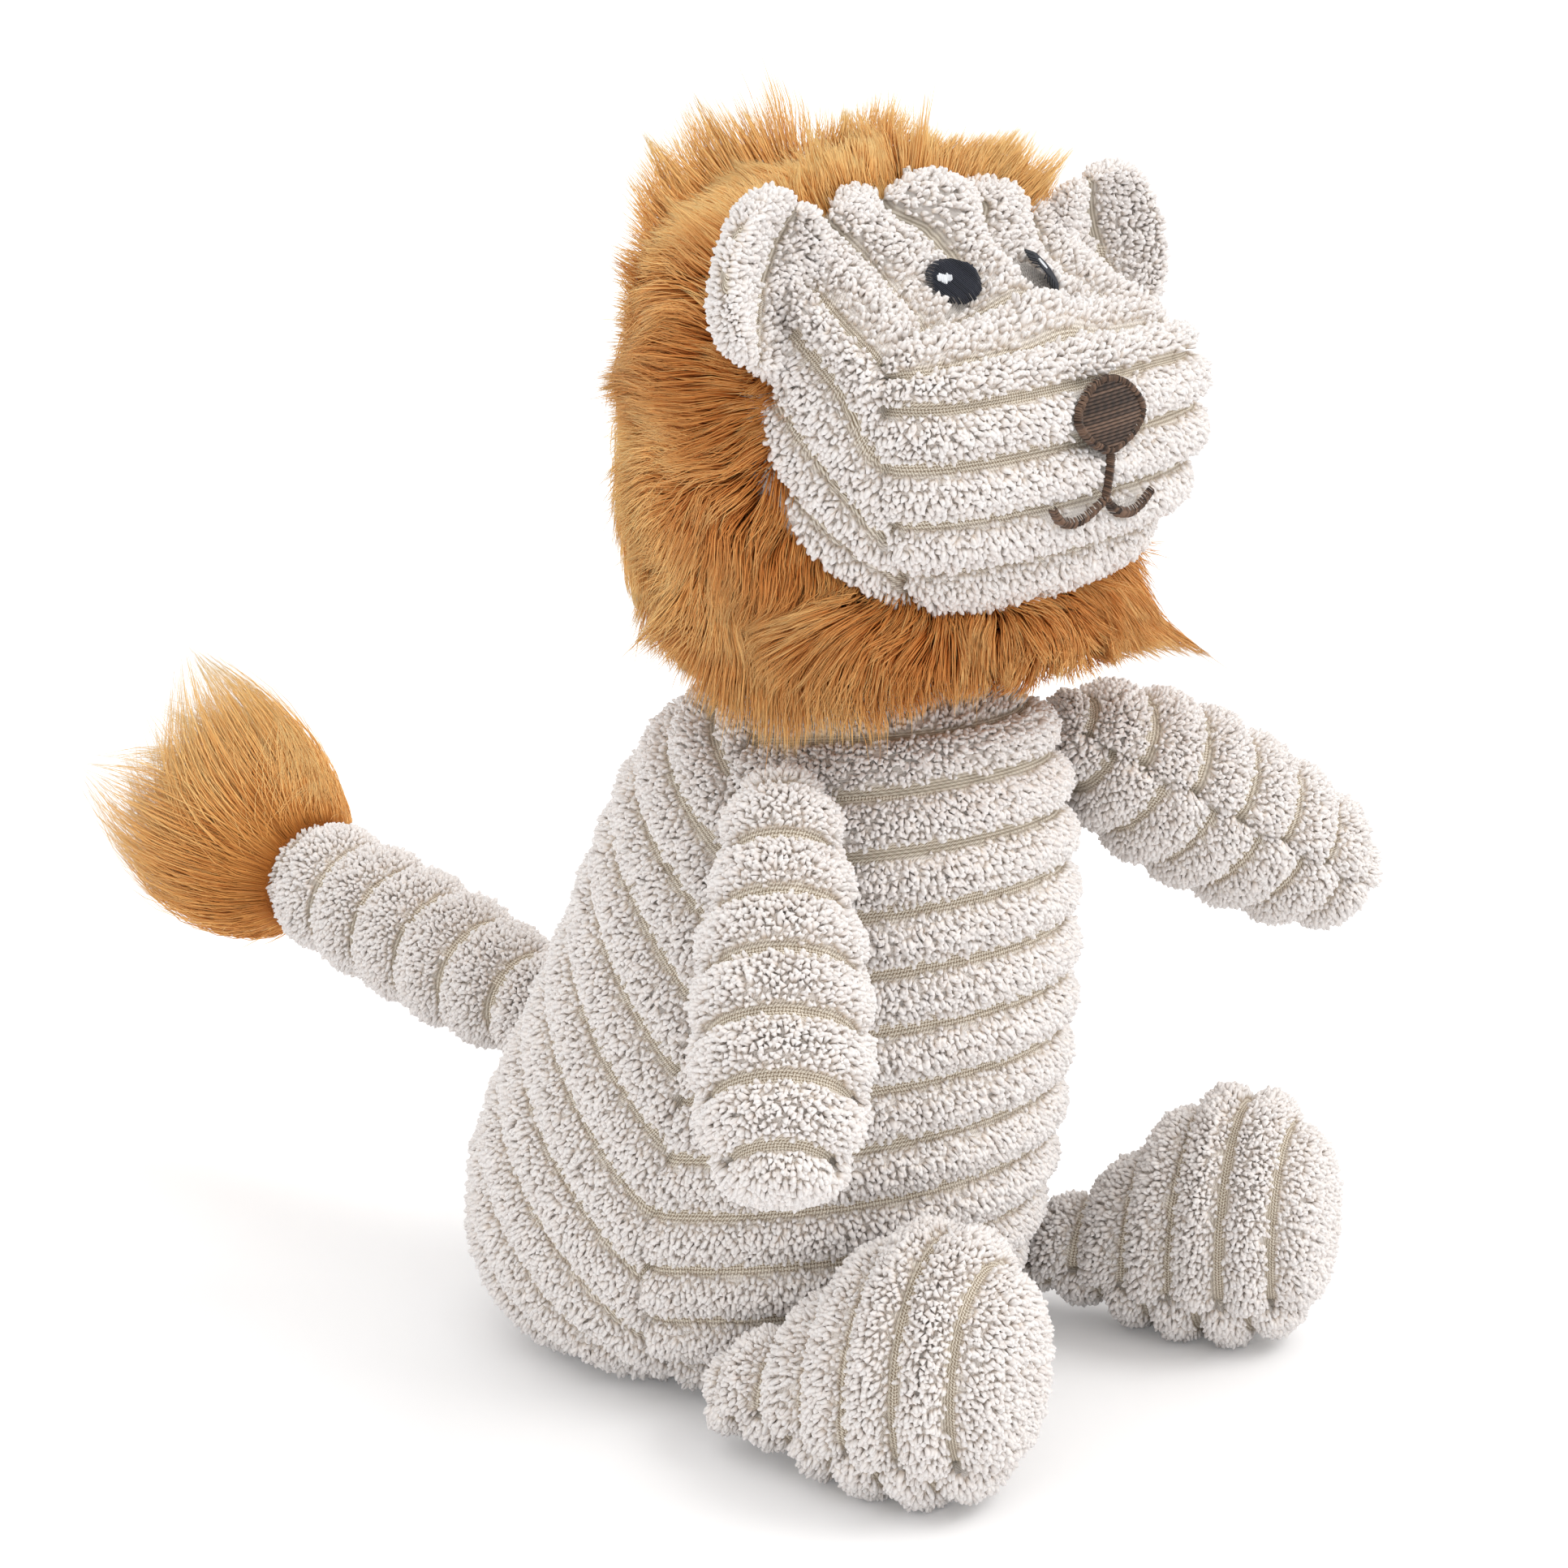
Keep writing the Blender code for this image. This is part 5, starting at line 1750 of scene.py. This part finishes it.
@dataclass
class Face:
    """The stitched eyes, nose and mouth."""

    head: Head
    eye_centre: Pair = (12.6 * MM, 217.5 * MM)
    eye_half: Pair = (4.2 * MM, 4.7 * MM)
    eye_pitch: float = 35.0
    eye_turn: float = 37.0
    eye_tilt: float = 0.8
    eye_hinge: float = 1.4 * MM
    glint: float = 1.25 * MM
    glint_place: Pair = (-1.5 * MM, 0.6 * MM)
    nose_centre: float = 192.8 * MM
    nose_size: Pair = (10.0 * MM, 13.6 * MM)
    # The right half's outline, as shares of the size
    nose_shape: Sequence[Pair] = (
        (0.00, 0.50), (0.42, 0.45), (0.80, 0.26), (1.00, 0.00), (0.74, -0.26), (0.30, -0.44), (0.00, -0.50),
    )
    border: float = 1.5 * MM
    mouth_half: float = 14.2 * MM
    mouth_lift: float = 3.7 * MM
    philtrum: float = 7.7 * MM
    stroke: float = 1.75 * MM
    # How far out from a stroke's middle no pile stands, as a share of its width
    bare_share: float = 0.72
    # Between which places across an eye its bare patch gets narrower on the inner side, and by how much
    inner_span: Pair = (1.5 * MM, -2.5 * MM)
    inner_cut: float = 1.5 * MM
    # The eyes and the muzzle's stitching lie before these places along Y
    eyes_before: float = -30.0 * MM
    muzzle_before: float = -60.0 * MM
    # One curve from the middle out, as shares of its half width and lift
    mouth_shape: Sequence[Pair] = (
        (0.00, 0.00), (0.20, -0.55), (0.38, -0.88), (0.60, -1.00), (0.82, -0.72), (1.00, -0.10),
    )
    net: int = 160

    def __post_init__(self) -> None:
        """Takes the head's outline for laying stitches on."""
        form = self.head.form()
        s = np.linspace(0.02, form.last - 0.02, self.net)
        t = np.linspace(0, form.sides, self.net, endpoint=False)
        points, normals = form.evaluate(np.repeat(s, self.net), np.tile(t, self.net))
        points += normals * HeadRibs().swell(points)[:, None]
        faces = grid_faces(self.net, self.net).tolist()
        self.tree = BVHTree.FromPolygons([Vector(p) for p in points], faces)
        self.front_y = self.head.centre_y - self.head.front / 2

    def eye_place(self, side: Side) -> Triple:
        """The middle of an eye's frame."""
        return (side.value * self.eye_centre[0], self.front_y, self.eye_centre[1])

    def nose_outline(self, grow: float = 0.0) -> list[Pair]:
        """Points round the nose."""
        half = [(self.nose_size[0] * x, self.nose_size[1] * y) for x, y in self.nose_shape]
        ring = curve(half + [(-x, y) for x, y in reversed(half[1:-1])], 4, closed=True)
        return [(x * (1 + grow / self.nose_size[0]), y * (1 + 2 * grow / self.nose_size[1])) for x, y in ring]

    def mouth_paths(self) -> list[list[Pair]]:
        """The middle lines of the mouth's three strokes, on the nose's frame."""
        low = self.nose_size[1] * self.nose_shape[-1][1]
        foot = low - self.philtrum
        arc = curve([(self.mouth_half * x, foot + self.mouth_lift * y) for x, y in self.mouth_shape])
        return [[(0.0, low), (0.0, foot)], arc, [(-x, y) for x, y in arc]]

    def bare(self, points: Array) -> Array:
        """Which points of the head lie under stitching."""
        under = np.zeros(len(points), bool)
        for side in Side:
            matrix = np.array(Stitching(self.tree, self.eye_place(side), self.eye_pitch).frame().inverted())
            local = points @ matrix[:3, :3].T + matrix[:3, 3]
            inner = smooth(*self.inner_span, local[:, 0] * side.value)
            width = self.eye_half[0] + 0.3 * MM - self.inner_cut * inner
            reach = (local[:, 0] / width) ** 2 + (local[:, 1] / (self.eye_half[1] + 0.1 * MM)) ** 2
            under |= (reach < 1) & (points[:, 1] < self.eyes_before)
        x, y = points[:, 0], points[:, 2] - self.nose_centre
        front = points[:, 1] < self.muzzle_before
        corners = np.array(self.nose_outline(0.35 * MM))
        inside = np.zeros(len(points), bool)
        for (ax, ay), (bx, by) in zip(corners, np.roll(corners, -1, 0)):
            crosses = (ay > y) != (by > y)
            at = ax + (bx - ax) * (y - ay) / (by - ay if by != ay else 1e-9)
            inside ^= crosses & (x < at)
        under |= inside & front
        for path in self.mouth_paths():
            straight = [(0.0, a) for a in np.linspace(path[0][1], path[-1][1], 12)]
            spots = np.array(path if len(path) > 2 else straight)
            gap = np.min(np.hypot(x[:, None] - spots[None, :, 0], y[:, None] - spots[None, :, 1]), axis=1)
            under |= (gap < self.stroke * self.bare_share) & front
        return under

    def dress(
        self, data: MeshData, name: str, finish: ThreadFinish, node: Optional[str]
    ) -> None:
        """Makes a stitched piece, which rides on the head."""
        piece = data.make(name)
        piece.data.materials.append(finish.material())
        if node:
            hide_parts(node)
        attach(piece, "head")
        LOG.info("%s: %d points", name, len(data.points))

    def build(self) -> None:
        """Makes the eyes, their glints, the nose and the mouth."""
        rng = np.random.default_rng(5)
        for side in Side:
            turn, hinge = self.eye_turn * side.value, self.eye_hinge * side.value
            pad = (self.tree, self.eye_place(side), self.eye_pitch, turn, self.eye_tilt, hinge)
            outline = ellipse((0.0, 0.0), self.eye_half, 40)
            lines = fill_lines(outline, math.radians(-74), 0.32 * MM, rng, 0.3 * MM)
            data = Stitching(*pad, radius=0.19 * MM).stitches(lines, rng)
            self.dress(data, f"eye_{side.word}_stitches", BLACK_THREAD, f"eye_{side.word}")
            outline = ellipse(self.glint_place, (self.glint, self.glint), 14)
            lines = fill_lines(outline, math.radians(66), 0.30 * MM, rng, 0.6 * MM)
            data = Stitching(*pad, lift=0.75 * MM, crown=0.25 * MM, radius=0.2 * MM).stitches(lines, rng)
            self.dress(data, f"eye_{side.word}_glint", WHITE_THREAD, f"eye_glint_{side.word}")
        place = (0.0, self.front_y, self.nose_centre)
        lines = fill_lines(self.nose_outline(-0.7 * MM), math.radians(5), 0.62 * MM, rng, 0.2 * MM)
        fill = Stitching(
            self.tree, place, 0.0, lift=0.3 * MM, crown=0.25 * MM, radius=0.34 * MM,
            bead=1.15 * MM, sparkle=0.3,
        )
        self.dress(fill.stitches(lines, rng), "nose_fill_stitches", BROWN_THREAD, "nose")
        ring = self.nose_outline(-self.border / 2)
        edge = Stitching(self.tree, place, 0.0, lift=0.5 * MM, crown=0.4 * MM, radius=0.2 * MM)
        lines = across_path([*ring, ring[0]], self.border, 0.34 * MM, 0.3, rng)
        self.dress(edge.stitches(lines, rng), "nose_edge_stitches", BROWN_THREAD, None)
        philtrum, *arcs = self.mouth_paths()
        lines = across_path(philtrum, self.stroke * 0.8, 0.36 * MM, 0.5, rng)
        for arc in arcs:
            lines += across_path(arc, self.stroke, 0.36 * MM, 0.45, rng, 0.3)
        mouth = Stitching(self.tree, place, 0.0, lift=0.55 * MM, crown=0.45 * MM, radius=0.21 * MM)
        self.dress(mouth.stitches(lines, rng), "mouth_stitches", BROWN_THREAD, "mouth")


@dataclass
class Studio:
    """A plain white floor, soft light and the camera."""

    clip: Pair = (0.01, 200.0)
    floor_reach: float = 60.0
    sky: Triple = (1.0, 0.995, 0.985)
    sky_strength: float = 1.1
    key_way: Triple = (-0.30, 0.62, -0.80)
    key_strength: float = 0.9
    key_spread: float = 30.0
    key_colour: Triple = (1.0, 0.985, 0.96)
    floor_colour: Triple = (0.93, 0.93, 0.94)
    floor_glow: float = 0.10

    @staticmethod
    def seen(bench: Bench) -> bpy.types.NodeSocket:
        """1 for what the camera sees, directly, mirrored or through glass."""
        path = bench.add("LightPath").outputs
        mirrored = bench.math("MAXIMUM", path["Is Glossy Ray"], path["Is Transmission Ray"])
        return bench.math("MAXIMUM", path["Is Camera Ray"], mirrored)

    def add_camera(self) -> None:
        """The camera at the photograph's angle, rounded to a tenth of a millimetre."""
        data = bpy.data.cameras.new("camera")
        data.angle = math.radians(PHOTO.view_angle)
        data.clip_start, data.clip_end = self.clip
        made = bpy.data.objects.new("camera", data)
        way, right = (Vector(np.round(axis, 4)) for axis in PHOTO.axes()[:2])
        turn = Matrix((right, right.cross(way), -way)).transposed().to_4x4()
        made.matrix_world = Matrix.Translation(np.round(PHOTO.place(), 4)) @ turn
        bpy.context.scene.collection.objects.link(made)
        bpy.context.scene.camera = made

    def add_floor(self) -> None:
        """A wide white floor that keeps the shadow."""
        reach = self.floor_reach
        corners = np.array([(-reach, -reach, 0), (reach, -reach, 0), (reach, reach, 0), (-reach, reach, 0)])
        floor = MeshData(corners, [np.array([[0, 1, 2, 3]])]).make("floor")
        material = bpy.data.materials.new("studio_floor")
        material.use_nodes = True
        bench = Bench(material.node_tree)
        seen = self.seen(bench)
        surface = {"Base Color": (*self.floor_colour, 1), "Roughness": 1.0, "Specular IOR Level": 0.0}
        shader = bench.add("BsdfPrincipled", None, surface)
        shader.inputs["Emission Color"].default_value = (1, 1, 1, 1)
        glow = bench.math("MULTIPLY", seen, self.floor_glow)
        bench.tree.links.new(glow, shader.inputs["Emission Strength"])
        bench.add("OutputMaterial", None, {"Surface": shader.outputs[0]})
        floor.data.materials.append(material)

    def add_light(self) -> None:
        """An even white sky, and one broad soft lamp from the front right."""
        world = bpy.data.worlds.new("studio")
        bpy.context.scene.world = world
        world.use_nodes = True
        bench = Bench(world.node_tree)
        soft = bench.add("Background", None, {"Color": (*self.sky, 1), "Strength": self.sky_strength})
        plain = bench.add("Background", None, {"Color": (1, 1, 1, 1), "Strength": 1.0})
        seen = self.seen(bench)
        both = bench.add("MixShader", None, {0: seen, 1: soft.outputs[0], 2: plain.outputs[0]})
        bench.add("OutputWorld", None, {"Surface": both.outputs[0]})
        lamp = bpy.data.lights.new("key", "SUN")
        lamp.energy = self.key_strength
        lamp.angle = math.radians(self.key_spread)
        lamp.color = self.key_colour
        made = bpy.data.objects.new("key", lamp)
        made.rotation_euler = Vector(self.key_way).to_track_quat("-Z", "Y").to_euler()
        bpy.context.scene.collection.objects.link(made)

    def build(self) -> None:
        """Sets the scene up."""
        view = bpy.context.scene.view_settings
        view.view_transform = "Standard"
        self.add_camera()
        self.add_floor()
        self.add_light()


# Along and size, as shares of the length and of the half width
ARM_SECTIONS = ((0.13, 0.71), (0.34, 0.95), (0.58, 1.00), (0.80, 0.94), (0.95, 0.66), (1.00, 0.30))
LEFT_ARM_SECTIONS = ((0.13, 0.98), (0.34, 1.10), (0.58, 1.04), (0.80, 0.92), (0.95, 0.66), (1.00, 0.30))
# How far along the tail its tuft starts
TUFT_START = 86.0 * MM
TAIL_SECTIONS = ((0.15, 0.86), (0.30, 1.00), (0.60, 1.00), (0.90, 0.97), (0.98, 0.84), (1.00, 0.52))
# Along, half width and half height, as shares
LEG_SECTIONS = (
    (0.15, 0.50, 0.44), (0.35, 0.84, 0.80), (0.58, 1.00, 1.00),
    (0.80, 0.95, 0.95), (0.95, 0.66, 0.66), (1.00, 0.30, 0.30),
)


def arm(side: Side, heading: float, drop: float, sections: Sequence[Pair], seed: int) -> Limb:
    """An arm, which pivots just under the neck."""
    half_width, half_height = 16.5 * MM, 16.8 * MM
    return Limb(
        name=f"arm_{side.word}", body=f"arm_{side.word}",
        pivot=(side.value * 44.0 * MM, -46.0 * MM, 122.0 * MM),
        heading=side.value * heading, rise=-drop, length=73.0 * MM, root=11.5 * MM,
        sections=[(along, half_width * size, half_height * size, 0.0) for along, size in sections],
        first_rib=7.0 * MM, rib_pitch=12.0 * MM, seed=seed,
    )


def leg(side: Side, heading: float, seed: int) -> Limb:
    """A leg, which pivots low on the body's front corner and ends in a bulbous foot."""
    half_width, half_height = 22.0 * MM, 27.8 * MM
    pivot_level, sole_sink, ankle = 12.5 * MM, 1.5 * MM, 0.58
    level = half_height - sole_sink - pivot_level
    return Limb(
        name=f"leg_{side.word}", body=f"leg_{side.word}",
        pivot=(side.value * 46.0 * MM, -40.0 * MM, pivot_level),
        heading=side.value * heading, rise=0.0, length=57.5 * MM, root=10.5 * MM,
        sections=[
            (along, half_width * width, half_height * height, level * min(1, along / ankle))
            for along, width, height in LEG_SECTIONS
        ],
        first_rib=6.0 * MM, rib_pitch=11.0 * MM, seed=seed,
        seam_level=-2.0 * MM, blend_span=(-4 * MM, 16 * MM),
    )


def tail() -> Limb:
    """The tail, which pivots on the middle of the back."""
    half_width = 15.0 * MM
    return Limb(
        name="tail", body="tail", pivot=(0.0, 55.5 * MM, 52.3 * MM),
        heading=180.0, rise=12.0, length=88.0 * MM, root=11.5 * MM,
        sections=[(along, half_width * size, half_width * size, 0.0) for along, size in TAIL_SECTIONS],
        first_rib=12.0 * MM, rib_pitch=14.0 * MM, seed=67,
        rib_shift=0.0, blend_span=(-4 * MM, 22 * MM),
    )


# Pixels of the tail tuft's tips in the photograph, where each lies along X in millimetres, and its hair
SEEN_TIPS = tuple(SeenTip(*row) for row in (
    ((225, 786), -3, 0.9), ((236, 800), 2, 0.6), ((229, 850), -4, 0.8), ((189, 871), -6, 1.0),
    ((162, 842), -6, 0.3), ((148, 923), -12, 1.0), ((92, 937), -17, 0.8), ((117, 952), -14, 0.6),
    ((148, 981), -12, 0.6), ((123, 1003), -16, 0.7), ((148, 1017), -10, 0.6), ((180, 1040), -5, 0.6),
    ((211, 1060), 0, 0.7), ((238, 1094), 0, 0.6), ((274, 1117), 0, 0.7), ((308, 1126), 0, 0.6),
    ((335, 1122), 3, 0.4), ((262, 815), 2, 0.6), ((290, 838), 2, 0.6), ((311, 855), 2, 0.5),
    ((345, 880), 2, 0.5), ((370, 915), 3, 0.5), ((388, 960), 3, 0.4),
))
# Tips on the tuft's sides, which the photograph doesn't show singly
SIDE_TIPS = (
    TuftTip((14, 190, 84), 0.7), TuftTip((13, 182, 70), 0.6), TuftTip((12, 176, 100), 0.6),
    TuftTip((-14, 176, 88), 0.5), TuftTip((11, 164, 66), 0.5), TuftTip((-12, 170, 70), 0.5),
)
# The mane's locks in the photograph: pixels of tip and root, where both lie in millimetres, and the reach.
# Those of the crown and the flank are placed along X
SIDE_LOCKS = tuple(SeenLock(*row, AXIS_X) for row in (
    ((901, 76), (940, 190), -14, -12, 5.5), ((939, 73), (990, 190), -8, -8, 5.5),
    ((893, 118), (922, 200), -18, -16, 5.0), ((822, 114), (872, 235), -24, -21, 5.5),
    ((850, 104), (900, 220), -19, -17, 5.5), ((1087, 66), (1085, 190), 3, 3, 6.0),
    ((1059, 114), (1064, 195), -3, -2, 5.0), ((1041, 130), (1040, 200), -7, -6, 5.0),
    ((1110, 100), (1105, 195), 8, 7, 5.0), ((1150, 150), (1135, 200), 10, 9, 5.0),
    ((1176, 160), (1160, 215), 14, 13, 5.5), ((1222, 154), (1205, 225), 22, 19, 5.5),
    ((1263, 154), (1238, 240), 28, 23, 5.5), ((1332, 174), (1275, 262), 36, 26, 5.5),
    ((758, 208), (832, 292), -40, -34, 6.0), ((791, 157), (852, 255), -32, -27, 6.0),
    ((745, 300), (815, 360), -48, -40, 6.0), ((752, 380), (820, 410), -48, -42, 6.0),
    ((733, 480), (815, 470), -50, -43, 6.5), ((750, 540), (830, 545), -50, -44, 6.0),
    ((742, 620), (825, 600), -50, -44, 6.0), ((768, 692), (850, 650), -50, -44, 6.5),
    ((772, 800), (860, 730), -50, -43, 6.5), ((820, 868), (905, 790), -48, -41, 6.5),
))
# Those of the fringe are placed along Y
FRINGE_LOCKS = tuple(SeenLock(*row, AXIS_Y) for row in (
    ((880, 905), (925, 790), -38, -34, 6.5), ((925, 930), (955, 800), -44, -40, 6.0),
    ((965, 948), (985, 815), -50, -46, 6.0), ((1010, 925), (1030, 820), -56, -52, 6.0),
    ((1075, 932), (1085, 825), -62, -58, 6.0), ((1125, 895), (1130, 820), -68, -62, 5.5),
    ((1180, 872), (1175, 810), -74, -65, 5.5), ((1240, 850), (1230, 800), -78, -67, 5.5),
    ((1305, 838), (1285, 790), -80, -67, 5.5), ((1375, 820), (1345, 780), -80, -67, 5.5),
    ((1435, 805), (1390, 765), -76, -66, 5.5), ((1497, 812), (1420, 750), -72, -62, 6.5),
))


def main() -> None:
    """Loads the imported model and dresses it, piece by piece."""
    logging.basicConfig(level=logging.INFO, format="%(message)s")
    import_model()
    Studio().build()
    head = Head()
    face = Face(head)
    Body().build()
    arm(Side.RIGHT, 48.0, 47.0, ARM_SECTIONS, 41).build()
    arm(Side.LEFT, 62.0, 30.0, LEFT_ARM_SECTIONS, 43).build()
    leg(Side.RIGHT, -13.0, 53).build()
    leg(Side.LEFT, 20.0, 59).build()
    tail_limb = tail()
    tail_limb.build()
    origin, way, _ = tail_limb.axes()
    tips = [*(seen.tip() for seen in SEEN_TIPS), *SIDE_TIPS]
    TailTuft(tuple(origin + way * TUFT_START), way, tips).build()
    head.build(face.bare)
    for side in Side:
        Ear(side).build()
    Mane(head, locks=[seen.lock() for seen in (*SIDE_LOCKS, *FRINGE_LOCKS)]).build()
    face.build()


if __name__ == "__main__":
    main()
